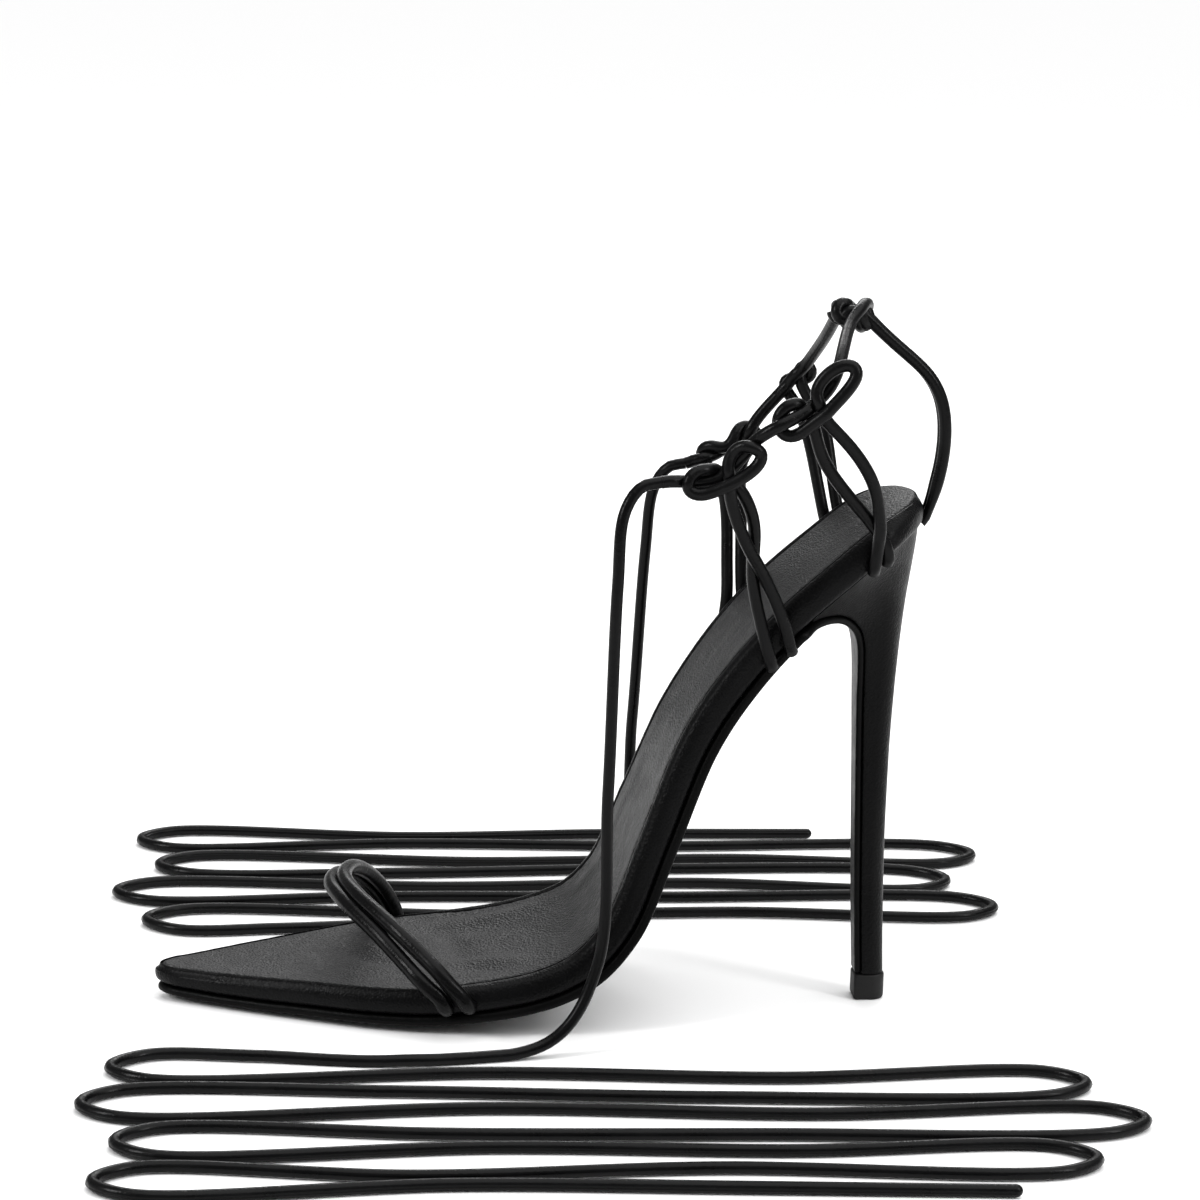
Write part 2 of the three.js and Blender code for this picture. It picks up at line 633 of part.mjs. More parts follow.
const footbed = plate(
  footbedStations,
  footbedHalf,
  SIDE,
  [
    { inset: onRim(1, 0), depth: (s, x) => SOCK_REBATE + dishAt(s, x) },
    { inset: onRim(0.93, 0), depth: (s, x) => 0.3 + 0.6 * dishAt(s, x) },
    { inset: onRim(0.4, 0), depth: () => 0 },
    { inset: RIM_EDGE, depth: () => 0.4 },
    { inset: 0.35, depth: rimDepth(0.14, 0.5) },
    { inset: 0.0, depth: rimDepth(0.48, 0) },
    { inset: 0.3, depth: rimDepth(0.85, 0) },
    { inset: 1.1, depth: underFootbed },
  ],
  { shares: [0], depth: (s, x) => SOCK_REBATE + dishAt(s, x) },
  { shares: [0.5, 0, -0.5], depth: underFootbed },
);
const sockFloor = (s, x) => SOCK_REBATE + dishAt(s, x) - GAP;
const sockTop = (s, x) => SOCK_REBATE + dishAt(s, x) - GAP - SOCK_THICK;
const sock = plate(
  footbedStations,
  footbedHalf,
  SIDE,
  [
    { inset: onRim(1, 0.75), depth: sockTop },
    { inset: onRim(1, GAP), depth: (s, x) => sockTop(s, x) + 0.3 },
    { inset: onRim(1, GAP), depth: sockFloor },
  ],
  { shares: [0.5, 0, -0.5], depth: sockTop },
  { shares: [0], depth: sockFloor },
);

// ---------------------------------------------------------------- outsole with its heel flap
// Its frames follow the footbed's underside, then the flap's own curve.
const flapRows = [];
for (const f of SIDE) {
  if (f.y > 53.0) break;
  const d = edgeThick(f.y) + belly(f.y) + GAP;
  flapRows.push({ y: f.y - f.ny * d, z: f.z - f.nz * d, ny: f.ny, nz: f.nz, own: f.s, flap: 0 });
}
const leave = flapRows[flapRows.length - 1];
const flapCurve = new THREE.CatmullRomCurve3(
  [leave, ...FLAP].map((r) => new THREE.Vector3(0, r.y, r.z)),
  false,
  "centripetal",
);
const flapSteps = 150;
for (let i = 1; i <= flapSteps; i++) {
  const p = flapCurve.getPointAt(i / flapSteps);
  const t = flapCurve.getTangentAt(i / flapSteps);
  const blend = smooth(0, 0.035, i / flapSteps);
  flapRows.push({
    y: p.y,
    z: p.z,
    ny: mix(leave.ny, -t.z, blend),
    nz: mix(leave.nz, t.y, blend),
    own: leave.own,
    flap: blend,
  });
}
const SOLE = [];
for (const r of flapRows) {
  const last = SOLE[SOLE.length - 1];
  SOLE.push({ ...r, s: last ? last.s + Math.hypot(r.y - last.y, r.z - last.z) : 0 });
}
const SOLE_LENGTH = SOLE[SOLE.length - 1].s;
const LEAVE_S = SOLE[flapRows.indexOf(leave)].s;

// The underside of the footbed above the heel, by y.
const UNDER = SIDE.filter((f) => f.y > 40).map((f) => ({
  y: f.y - f.ny * edgeThick(f.y),
  z: f.z - f.nz * edgeThick(f.y),
  lateral: planLateral(f.y),
  medial: planMedial(f.y),
}));
const underAt = (y, key) => {
  let i = 0;
  while (i < UNDER.length - 2 && UNDER[i + 1].y < y) i++;
  const a = UNDER[i],
    b = UNDER[i + 1];
  return mix(a[key], b[key], (y - a.y) / (b.y - a.y));
};
const HEEL_INSET = 1.5; // the heel's top stands this far inside the footbed's edge
const heelStem = through(HEEL, "drop", "stem");
const heelBack = through(HEEL, "drop", "back");
const heelRound = through(HEEL, "drop", "round");
function heelHalf(y, drop) {
  const flare = Math.exp(-Math.max(drop, 0) / FLARE);
  const stem = heelStem(drop);
  return {
    lateral: mix(stem, underAt(y, "lateral") - HEEL_INSET, flare),
    medial: mix(stem, underAt(y, "medial") - HEEL_INSET, flare),
  };
}
const soleHalf = (s) => {
  const f = frameOn(SOLE, s);
  const ends = rounding(s, TOE_ROUND) * rounding(SOLE_LENGTH - s, 1.2);
  const own = footbedHalf(f.own);
  const y = yAt(f.own);
  const plain = {
    lateral: s < TOE_ROUND ? own.lateral : planLateral(y),
    medial: s < TOE_ROUND ? own.medial : planMedial(y),
  };
  if (s > LEAVE_S) {
    const drop = underAt(f.y, "z") - f.z;
    const onHeel = heelHalf(f.y, drop);
    const t = smooth(LEAVE_S, LEAVE_S + 7, s);
    plain.lateral = mix(plain.lateral, onHeel.lateral + 0.5, t);
    plain.medial = mix(plain.medial, onHeel.medial + 0.5, t);
  }
  const endRound = rounding(SOLE_LENGTH - s, 1.2);
  return {
    lateral: s < TOE_ROUND ? plain.lateral : plain.lateral * endRound,
    medial: s < TOE_ROUND ? plain.medial : plain.medial * endRound,
  };
};
const soleBelly = (s, x) => {
  const f = frameOn(SOLE, s);
  // The centre line lies at the belly's lowest, so the edges rise from it.
  const y = yAt(f.own);
  const share = clamp01(Math.abs(x) / (x > 0 ? planLateral(y) : planMedial(y)));
  return (1 - f.flap) * -belly(y) * share * share;
};
const soleThick = (s) => {
  const f = frameOn(SOLE, s);
  return mix(outsoleThick(yAt(f.own)), FLAP_THICK, smooth(LEAVE_S, LEAVE_S + 30, s));
};
const soleDepth = (share, plus) => (s, x) => soleBelly(s, x) + soleThick(s) * share + plus;
// The same stations as the footbed, so that the two faces stay parallel.
const onSole = (own) => {
  const i = SOLE.findIndex((f) => f.own >= own - 1e-9);
  if (i < 1) return 0;
  const a = SOLE[i - 1],
    b = SOLE[i];
  return mix(a.s, b.s, (own - a.own) / (b.own - a.own));
};
const soleStations = footbedStations
  .filter((own) => own < leave.own - 3)
  .map((own) => onSole(own));
const FLAP_STOPS = [0, 2.5, 5, 8, 11, 14, 17, 20, 23, 27, 33, 45, 62, 80, 98];
FLAP_STOPS.forEach((d) => soleStations.push(LEAVE_S + d));
soleStations.push(SOLE_LENGTH - 1.2, SOLE_LENGTH - 0.35, SOLE_LENGTH);
let outsole = solidOf(
  plate(
    soleStations,
    soleHalf,
    SOLE,
    [
      { inset: 1.6, depth: soleDepth(0, 0) },
      { inset: 0.9, depth: soleDepth(0, 0.3) },
      { inset: 0.7, depth: soleDepth(0.55, 0) },
      { inset: 1.0, depth: soleDepth(1, -0.35) },
      { inset: 1.6, depth: soleDepth(1, 0) },
    ],
    { shares: [0.5, 0, -0.5], depth: soleDepth(0, 0) },
    { shares: [0.66, 0.33, 0, -0.33, -0.66], depth: soleDepth(1, 0) },
  ),
);
// What would lie under the floor is cut flat: the tread's flat spot under the ball.
const underFloor = new THREE.BoxGeometry(300, 400, 20).translate(0, 0, -10);
outsole = outsole.subtract(solidOf(underFloor));

// ---------------------------------------------------------------- heel
// Full rings first, then the side profile cuts the breast, the seat and the foot of the heel.
const UNDER_MEAN = 124;
const HEEL_SIDE_POINTS = 11;
const heelRings = HEEL_LEVELS.map((drop) => {
  const back = heelBack(drop);
  const front = 76.5 - 20.5 * Math.exp(-Math.max(drop, 0) / 11);
  const level = smooth(8, 45, drop);
  const round = heelRound(drop);
  const side = [];
  for (let i = 0; i <= HEEL_SIDE_POINTS; i++) {
    // Half the points go round the back, half along the side.
    const half = HEEL_SIDE_POINTS - 5;
    const reach =
      i <= half
        ? round * (1 - Math.cos((Math.PI / 2) * (i / half)))
        : mix(round, back - front, (i - half) / (HEEL_SIDE_POINTS - half));
    const y = back - reach;
    const w = heelHalf(y, drop);
    const r = rounding(reach, round);
    const z = mix(underAt(y, "z"), UNDER_MEAN, level) - drop;
    side.push({ y, z, lateral: w.lateral * r, medial: w.medial * r });
  }
  const ring = side.map((p) => new THREE.Vector3(p.lateral, p.y, p.z));
  for (let i = side.length - 1; i > 0; i--)
    ring.push(new THREE.Vector3(-side[i].medial, side[i].y, side[i].z));
  return ring;
});
const fan = (points, faces, first, isTop) => {
  const n = heelRings[0].length;
  const centre = new THREE.Vector3();
  for (let i = 0; i < n; i++) centre.add(points[first + i]);
  points.push(centre.divideScalar(n));
  const c = points.length - 1;
  for (let i = 0; i < n; i++) {
    const a = first + i,
      b = first + ((i + 1) % n);
    faces.push(isTop ? [c, b, a] : [c, a, b]);
  }
};
const heelFull = solidOf(loftRings(heelRings, fan, fan));
const breast = SOLE.filter((f) => f.s > LEAVE_S - 2);
const profile = [];
profile.push(new THREE.Vector2(82.2, TOP_PIECE_HIGH + GAP));
for (let i = breast.length - 1; i >= 0; i -= 4) {
  const f = breast[i];
  if (f.z < TOP_PIECE_HIGH + GAP + 0.5 || f.y < BREAST_Y) continue;
  profile.push(new THREE.Vector2(f.y + f.ny * GAP, f.z + f.nz * GAP));
}
for (let i = 0; i < UNDER.length; i += 6) {
  const u = UNDER[i];
  const last = profile[profile.length - 1];
  const next = UNDER[Math.min(i + 1, UNDER.length - 1)];
  const before = UNDER[Math.max(i - 1, 0)];
  const l = Math.hypot(next.y - before.y, next.z - before.z);
  const p = new THREE.Vector2(
    u.y + (GAP * (next.z - before.z)) / l,
    u.z - (GAP * (next.y - before.y)) / l,
  );
  if (p.x > last.x + 0.2) profile.push(p);
}
const seatEnd = profile[profile.length - 1];
profile.push(new THREE.Vector2(seatEnd.x + 8, seatEnd.y));
profile.push(new THREE.Vector2(seatEnd.x + 8, TOP_PIECE_HIGH + GAP));
// The shape's plane (y, z) is stood up across the shoe.
const sideSlab = (outline, halfWide) => {
  const slab = new THREE.ExtrudeGeometry(new THREE.Shape(outline), {
    depth: 2 * halfWide,
    bevelEnabled: false,
    steps: 1,
  });
  slab.applyMatrix4(
    new THREE.Matrix4().set(0, 0, 1, -halfWide, 1, 0, 0, 0, 0, 1, 0, 0, 0, 0, 0, 1),
  );
  return slab;
};
const heel = heelFull.intersect(solidOf(sideSlab(profile, 45)));

// ---------------------------------------------------------------- top piece
const TOP_PIECE = [
  { z: 0, inset: 0.45 },
  { z: 0.5, inset: 0.0 },
  { z: 6.4, inset: 0.0 },
  { z: TOP_PIECE_HIGH, inset: 0.3 },
];
const TOP_PIECE_FRONT = 79.7,
  TOP_PIECE_BACK = 88.0,
  TOP_PIECE_HALF = 4.0;
const topPieceRings = TOP_PIECE.map(({ z, inset }) => {
  const ring = [];
  const half = TOP_PIECE_HALF - inset,
    front = TOP_PIECE_FRONT + inset,
    back = TOP_PIECE_BACK - inset;
  const corner = 0.8,
    round = 3.6;
  for (let i = 0; i <= 8; i++) {
    const a = (Math.PI / 2) * (i / 8);
    ring.push(new THREE.Vector3(half * Math.sin(a), back - round * (1 - Math.cos(a)), z));
  }
  for (let i = 0; i <= 2; i++) {
    const a = (Math.PI / 2) * (i / 2);
    ring.push(
      new THREE.Vector3(
        half - corner * (1 - Math.cos(a)),
        front + corner * (1 - Math.sin(a)),
        z,
      ),
    );
  }
  const mirrored = ring
    .slice(1)
    .reverse()
    .map((p) => new THREE.Vector3(-p.x, p.y, p.z));
  return [...ring, ...mirrored];
});
const fanOf = (n) => (points, faces, first, isTop) => {
  for (let i = 1; i < n - 1; i++)
    faces.push(isTop ? [first, first + i + 1, first + i] : [first, first + i, first + i + 1]);
};
const topPiece = loftRings(
  topPieceRings,
  fanOf(topPieceRings[0].length),
  fanOf(topPieceRings[0].length),
);

// ---------------------------------------------------------------- cords
const SIDES = 8;
const TIE_SIDES = 7;
function cord(rows, diameter, steps, sides = SIDES) {
  const section = new THREE.Shape();
  for (let i = 0; i < sides; i++) {
    const a = (2 * Math.PI * (i + 0.5)) / sides;
    const r = diameter / 2 / Math.cos(Math.PI / sides) ** 0.5;
    if (i) section.lineTo(r * Math.cos(a), r * Math.sin(a));
    else section.moveTo(r * Math.cos(a), r * Math.sin(a));
  }
  section.closePath();
  const route = new THREE.CatmullRomCurve3(
    rows.map((r) => new THREE.Vector3(r.x, r.y, r.z)),
    false,
    "centripetal",
  );
  route.arcLengthDivisions = 600;
  // Without a number of steps, each row of the table is one step.
  if (!steps) route.getUtoTmapping = (u) => u;
  return new THREE.ExtrudeGeometry(section, {
    steps: steps || rows.length - 1,
    extrudePath: route,
    bevelEnabled: false,
  });
}
// A tie's route: its drop, then for each run its two thirds and the three points of the turn.
function tieRoute({ side, drop, runs }) {
  const route = [...drop];
  let from = drop[drop.length - 1].y;
  runs.forEach(({ out, end, first, second }, k) => {
    const to = Math.sign(end);
    const put = (x, y) => route.push({ x: side * x, y, z: TIE_HEIGHT });
    put(out + first, mix(from, end, 0.36));
    put(out + second, mix(from, end, 0.68));
    if (k === runs.length - 1) {
      put(out + 2, end);
      return;
    }
    const next = runs[k + 1].out;
    put(out - TIE_BULB, end - to * TIE_TURN);
    put((out + next) / 2, end);
    put(next + TIE_BULB, end - to * TIE_TURN);
    from = end - to * TIE_TURN;
  });
  return route;
}
const join = (solids) => solids.reduce((a, b) => a.add(b));
const toeStrap = join([
  solidOf(cord(TOE_CORD_REAR, TOE_CORD, 20)),
  solidOf(cord(TOE_CORD_FRONT, TOE_CORD, 20)),
]);
const strand = (side) =>
  BACK_LOOP.map((r) => ({ x: (side * STRAND_APART) / 2, y: r.y, z: r.z }));
const core = ({ x, y, z, rx, ry, rz }) =>
  solidOf(new THREE.SphereGeometry(1, 8, 5).scale(rx, ry, rz).translate(x, y, z));
const strandSides = [1, -1];
const ankleStraps = join([
  solidOf(cord(LATERAL_FRONT, CORD, 35)),
  solidOf(cord(LATERAL_REAR, CORD, 36)),
  solidOf(cord(LATERAL_RUN, CORD, 18)),
  solidOf(cord(MEDIAL_FRONT, CORD, 24)),
  solidOf(cord(MEDIAL_REAR, CORD, 23)),
  solidOf(cord(MEDIAL_RUN, CORD, 12)),
  ...strandSides.map((side) => solidOf(cord(strand(side), CORD, 10))),
  ...KNOTS.map(core),
]);

// ---------------------------------------------------------------- the scene
const blackLeather = { color: 0x1b1b1c, roughness: 0.45, metalness: 0 };
const finishes = {
  edge: new THREE.MeshStandardMaterial({ ...blackLeather, roughness: 0.38 }),
  sock: new THREE.MeshStandardMaterial({ ...blackLeather, color: 0x242425, roughness: 0.6 }),
  sole: new THREE.MeshStandardMaterial({ ...blackLeather, color: 0x171717, roughness: 0.5 }),
  heel: new THREE.MeshStandardMaterial({ ...blackLeather, roughness: 0.4 }),
  tip: new THREE.MeshStandardMaterial({ color: 0x111112, roughness: 0.6, metalness: 0 }),
  cord: new THREE.MeshStandardMaterial({ ...blackLeather, color: 0x161617, roughness: 0.35 }),
};
const sandal = new THREE.Group();
function add(name, shape, finish) {
  const geometry = shape.isBufferGeometry ? shape : geometryOf(shape);
  const mesh = new THREE.Mesh(geometry, finish);
  mesh.name = name;
  mesh.position.set(CENTRE_SHIFT.x, CENTRE_SHIFT.y, 0);
  mesh.geometry.computeVertexNormals();
  sandal.add(mesh);
}
add("outsole", outsole, finishes.sole);
add("footbed", footbed, finishes.edge);
add("insole_sock", sock, finishes.sock);
add("heel", heel, finishes.heel);
add("top_piece", topPiece, finishes.tip);
add("toe_strap", toeStrap, finishes.cord);
add("ankle_straps", ankleStraps, finishes.cord);
add("tie_lateral", cord(tieRoute(TIES.lateral), CORD, 0, TIE_SIDES), finishes.cord);
add("tie_medial", cord(tieRoute(TIES.medial), CORD, 0, TIE_SIDES), finishes.cord);

export default sandal;
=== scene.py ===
# Stiletto sandal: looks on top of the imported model. Tables in millimetres, objects in metres.
import math

import bpy
import numpy as np
from mathutils import Matrix


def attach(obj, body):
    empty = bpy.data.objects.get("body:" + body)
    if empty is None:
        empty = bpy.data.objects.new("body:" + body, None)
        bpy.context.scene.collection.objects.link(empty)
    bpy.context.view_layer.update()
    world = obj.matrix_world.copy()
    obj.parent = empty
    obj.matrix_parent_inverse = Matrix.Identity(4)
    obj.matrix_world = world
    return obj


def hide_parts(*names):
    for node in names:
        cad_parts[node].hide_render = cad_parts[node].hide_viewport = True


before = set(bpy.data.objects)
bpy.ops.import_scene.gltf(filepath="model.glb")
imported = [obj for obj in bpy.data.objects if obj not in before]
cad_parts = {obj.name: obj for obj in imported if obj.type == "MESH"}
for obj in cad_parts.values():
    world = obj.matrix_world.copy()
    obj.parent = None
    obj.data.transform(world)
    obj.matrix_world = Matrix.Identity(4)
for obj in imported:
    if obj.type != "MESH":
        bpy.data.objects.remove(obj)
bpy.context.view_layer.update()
MM = 0.001
SHIFT = np.array([-0.4, 1.4, 0.0])  # same centring as the CAD model

# ------------------------------------------------------------------ camera
PHI, ELEV, ROLL, DIST = math.radians(5.0), math.radians(12.2), math.radians(1.55), 1000.0
TARGET = np.array([0.0, 10.73, 105.59]) + SHIFT
back = np.array([math.cos(ELEV) * math.cos(PHI), -math.cos(ELEV) * math.sin(PHI), math.sin(ELEV)])
right = np.array([math.sin(PHI), math.cos(PHI), 0.0])
up = np.cross(back, right)
right_r = right * math.cos(ROLL) + up * math.sin(ROLL)
up_r = -right * math.sin(ROLL) + up * math.cos(ROLL)
eye = (TARGET + back * DIST) * MM
cam_data = bpy.data.cameras.new("camera")
cam_data.sensor_fit = "HORIZONTAL"
cam_data.sensor_width = 36.0
cam_data.lens = 36.0 * 3920.0 / 1200.0
cam_data.clip_start = 0.01
cam_data.clip_end = 50.0
cam = bpy.data.objects.new("camera", cam_data)
bpy.context.scene.collection.objects.link(cam)
cam.matrix_world = Matrix(
    (
        (right_r[0], up_r[0], back[0], eye[0]),
        (right_r[1], up_r[1], back[1], eye[1]),
        (right_r[2], up_r[2], back[2], eye[2]),
        (0, 0, 0, 1),
    )
)
bpy.context.scene.camera = cam


# ------------------------------------------------------------------ helpers
def through(rows, col):
    """Smooth function through a table's rows (first column x) that never overshoots."""
    x = np.array([r[0] for r in rows], float)
    y = np.array([r[col] for r in rows], float)
    h = np.diff(x)
    m = np.diff(y) / h
    d = np.zeros(len(x))
    d[0], d[-1] = m[0], m[-1]
    for i in range(1, len(x) - 1):
        if m[i - 1] * m[i] > 0:
            a, b = h[i - 1], h[i]
            d[i] = 3 * (a + b) / ((2 * b + a) / m[i - 1] + (b + 2 * a) / m[i])

    def f(v):
        v = np.clip(np.asarray(v, float), x[0], x[-1])
        i = np.clip(np.searchsorted(x, v, side="right") - 1, 0, len(x) - 2)
        t = (v - x[i]) / h[i]
        return (
            y[i] * (1 + 2 * t) * (1 - t) ** 2
            + h[i] * d[i] * t * (1 - t) ** 2
            + y[i + 1] * t * t * (3 - 2 * t)
            + h[i] * d[i + 1] * t * t * (t - 1)
        )

    return f


def smooth(a, b, v):
    t = np.clip((np.asarray(v, float) - a) / (b - a), 0, 1)
    return t * t * (3 - 2 * t)


def rounding(reach, length):
    return np.sqrt(np.maximum(0, 1 - (1 - np.clip(np.asarray(reach, float) / length, 0, 1)) ** 2))


def catmull(rows, spacing):
    """Centripetal Catmull-Rom through the rows, resampled evenly."""
    p = np.array(rows, float)
    p = np.vstack([2 * p[0] - p[1], p, 2 * p[-1] - p[-2]])
    out = []
    for i in range(1, len(p) - 2):
        p0, p1, p2, p3 = p[i - 1], p[i], p[i + 1], p[i + 2]
        t0 = 0.0
        t1 = t0 + max(np.linalg.norm(p1 - p0), 1e-6) ** 0.5
        t2 = t1 + max(np.linalg.norm(p2 - p1), 1e-6) ** 0.5
        t3 = t2 + max(np.linalg.norm(p3 - p2), 1e-6) ** 0.5
        n = max(4, int(np.linalg.norm(p2 - p1) / 0.6))
        t = np.linspace(t1, t2, n, endpoint=False)[:, None]
        a1 = (t1 - t) / (t1 - t0) * p0 + (t - t0) / (t1 - t0) * p1
        a2 = (t2 - t) / (t2 - t1) * p1 + (t - t1) / (t2 - t1) * p2
        a3 = (t3 - t) / (t3 - t2) * p2 + (t - t2) / (t3 - t2) * p3
        b1 = (t2 - t) / (t2 - t0) * a1 + (t - t0) / (t2 - t0) * a2
        b2 = (t3 - t) / (t3 - t1) * a2 + (t - t1) / (t3 - t1) * a3
        out.append((t2 - t) / (t2 - t1) * b1 + (t - t1) / (t2 - t1) * b2)
    out.append(p[-2][None, :])
    return resample(np.vstack(out), spacing)


def resample(path, spacing):
    step = np.linalg.norm(np.diff(path, axis=0), axis=1)
    keep = np.concatenate([[True], step > 1e-9])
    path = path[keep]
    s = np.concatenate([[0], np.cumsum(np.linalg.norm(np.diff(path, axis=0), axis=1))])
    n = max(2, int(round(s[-1] / spacing)) + 1)
    u = np.linspace(0, s[-1], n)
    return np.stack([np.interp(u, s, path[:, k]) for k in range(3)], axis=1)


def mesh_object(name, verts_mm, faces, material, uvs=None, sharp_deg=40):
    me = bpy.data.meshes.new(name)
    v = (np.asarray(verts_mm, float) + SHIFT) * MM
    me.from_pydata([tuple(q) for q in v], [], [tuple(f) for f in faces])
    me.validate()
    if uvs is not None:
        layer = me.uv_layers.new(name="along")
        flat = [c for face in uvs for uv in face for c in uv]
        layer.data.foreach_set("uv", flat)
    me.materials.append(material)
    me.polygons.foreach_set("use_smooth", [True] * len(me.polygons))
    me.update()
    me.set_sharp_from_angle(angle=math.radians(sharp_deg))
    ob = bpy.data.objects.new(name, me)
    bpy.context.scene.collection.objects.link(ob)
    return ob


def outward(verts, faces):
    """Turns a closed mesh's faces the right way out."""
    v = np.asarray(verts, float)
    vol = 0.0
    for f in faces:
        for k in range(1, len(f) - 1):
            vol += np.dot(v[f[0]], np.cross(v[f[k]], v[f[k + 1]]))
    return faces if vol > 0 else [tuple(reversed(f)) for f in faces]


# ------------------------------------------------------------------ materials
def new_material(name, base, rough, coat=0.0, coat_rough=0.2, specular=0.5):
    m = bpy.data.materials.new(name)
    m.use_nodes = True
    b = m.node_tree.nodes["Principled BSDF"]
    b.inputs["Base Color"].default_value = (*base, 1)
    b.inputs["Roughness"].default_value = rough
    b.inputs["Coat Weight"].default_value = coat
    b.inputs["Coat Roughness"].default_value = coat_rough
    b.inputs["Specular IOR Level"].default_value = specular
    return m


def node(m, kind, **values):
    n = m.node_tree.nodes.new(kind)
    for key, value in values.items():
        if key in n.inputs:
            n.inputs[key].default_value = value
        else:
            setattr(n, key, value)
    return n


def link(m, a, b):
    m.node_tree.links.new(a, b)


def coords(m, scale=(1, 1, 1), uv=False):
    tc = node(m, "ShaderNodeTexCoord")
    mp = node(m, "ShaderNodeMapping")
    mp.inputs["Scale"].default_value = scale
    link(m, tc.outputs["UV" if uv else "Object"], mp.inputs["Vector"])
    return mp.outputs["Vector"]


def ramp(m, source, low, high, to_low, to_high):
    r = node(m, "ShaderNodeMapRange")
    r.inputs["From Min"].default_value = low
    r.inputs["From Max"].default_value = high
    r.inputs["To Min"].default_value = to_low
    r.inputs["To Max"].default_value = to_high
    link(m, source, r.inputs["Value"])
    return r.outputs["Result"]


def two_tone(m, source, dark, light):
    r = node(m, "ShaderNodeValToRGB")
    r.color_ramp.elements[0].color = (*dark, 1)
    r.color_ramp.elements[1].color = (*light, 1)
    r.color_ramp.elements[0].position = 0.3
    r.color_ramp.elements[1].position = 0.7
    link(m, source, r.inputs["Fac"])
    link(m, r.outputs["Color"], m.node_tree.nodes["Principled BSDF"].inputs["Base Color"])


def bumps(m, layers):
    """Chained bumps: (height socket, depth in metres)."""
    last = None
    for height, depth in layers:
        b = node(m, "ShaderNodeBump")
        b.inputs["Strength"].default_value = 1.0
        b.inputs["Distance"].default_value = depth
        link(m, height, b.inputs["Height"])
        if last is not None:
            link(m, last, b.inputs["Normal"])
        last = b.outputs["Normal"]
    link(m, last, m.node_tree.nodes["Principled BSDF"].inputs["Normal"])


def leather(name, dark, light, rough, grain_mm, grain_depth, soft_depth, coat, coat_rough, rough_span=0.08, specular=0.2):
    m = new_material(name, dark, rough, coat, coat_rough, specular)
    vec = coords(m)
    cells = node(m, "ShaderNodeTexVoronoi", Scale=1000.0 / grain_mm)
    cells.feature = "SMOOTH_F1"
    cells.inputs["Smoothness"].default_value = 0.6
    cells.inputs["Randomness"].default_value = 1.0
    wobble = node(m, "ShaderNodeTexNoise", Scale=420.0, Detail=3.0)
    add = node(m, "ShaderNodeVectorMath")
    add.operation = "MULTIPLY_ADD"
    add.inputs[1].default_value = (0.0006, 0.0006, 0.0006)
    link(m, vec, wobble.inputs["Vector"])
    link(m, wobble.outputs["Color"], add.inputs[0])
    link(m, vec, add.inputs[2])
    link(m, add.outputs["Vector"], cells.inputs["Vector"])
    soft = node(m, "ShaderNodeTexNoise", Scale=150.0, Detail=4.0, Roughness=0.6)
    link(m, vec, soft.inputs["Vector"])
    patch = node(m, "ShaderNodeTexNoise", Scale=38.0, Detail=3.0)
    link(m, vec, patch.inputs["Vector"])
    two_tone(m, patch.outputs["Fac"], dark, light)
    r = ramp(m, soft.outputs["Fac"], 0.3, 0.7, rough - rough_span, rough + rough_span)
    link(m, r, m.node_tree.nodes["Principled BSDF"].inputs["Roughness"])
    bumps(m, [(soft.outputs["Fac"], soft_depth), (cells.outputs["Distance"], grain_depth)])
    return m


MAT_EDGE = leather("edge_leather", (0.0015, 0.0015, 0.0016), (0.0035, 0.0035, 0.0037), 0.36, 0.55, 0.00014, 0.0003, 0.02, 0.2, specular=0.06)
MAT_SOCK = leather("sock_leather", (0.011, 0.011, 0.0113), (0.018, 0.018, 0.0186), 0.46, 0.62, 0.00030, 0.0004, 0.0, 0.4, 0.06, specular=0.16)
MAT_SOLE = leather("sole_leather", (0.001, 0.001, 0.001), (0.0025, 0.0025, 0.0025), 0.4, 0.4, 0.00006, 0.0002, 0.01, 0.25, specular=0.06)
MAT_HEEL = leather("heel_leather", (0.0015, 0.0015, 0.0016), (0.003, 0.003, 0.0031), 0.38, 0.5, 0.00014, 0.00025, 0.01, 0.2, specular=0.07)
MAT_TIP = leather("tip_rubber", (0.006, 0.006, 0.006), (0.010, 0.010, 0.010), 0.55, 0.3, 0.00004, 0.0001, 0.0, 0.4)


def cord_leather(name):
    """Rolled leather: fine grain, faint cross wrinkles, and a seam along one side."""
    dark, light = (0.0015, 0.0015, 0.0016), (0.003, 0.003, 0.0032)
    m = new_material(name, dark, 0.3, 0.06, 0.12, 0.08)
    obj = coords(m)
    grain = node(m, "ShaderNodeTexVoronoi", Scale=2400.0)
    link(m, obj, grain.inputs["Vector"])
    patch = node(m, "ShaderNodeTexNoise", Scale=90.0, Detail=3.0)
    link(m, obj, patch.inputs["Vector"])
    two_tone(m, patch.outputs["Fac"], dark, light)
    link(
        m,
        ramp(m, patch.outputs["Fac"], 0.3, 0.7, 0.24, 0.38),
        m.node_tree.nodes["Principled BSDF"].inputs["Roughness"],
    )
    wrinkle = node(m, "ShaderNodeTexNoise", Scale=1.0, Detail=3.0)
    link(m, coords(m, (2.0, 620.0, 1.0), uv=True), wrinkle.inputs["Vector"])
    split = node(m, "ShaderNodeSeparateXYZ")
    link(m, coords(m, uv=True), split.inputs[0])
    seam = node(m, "ShaderNodeMath")
    seam.operation = "SUBTRACT"
    seam.inputs[1].default_value = 0.5
    link(m, split.outputs["X"], seam.inputs[0])
    away = node(m, "ShaderNodeMath")
    away.operation = "ABSOLUTE"
    link(m, seam.outputs[0], away.inputs[0])
    groove = ramp(m, away.outputs[0], 0.0, 0.035, 0.0, 1.0)
    bumps(m, [(wrinkle.outputs["Fac"], 0.00012), (grain.outputs["Distance"], 0.00004), (groove, 0.00025)])
    return m


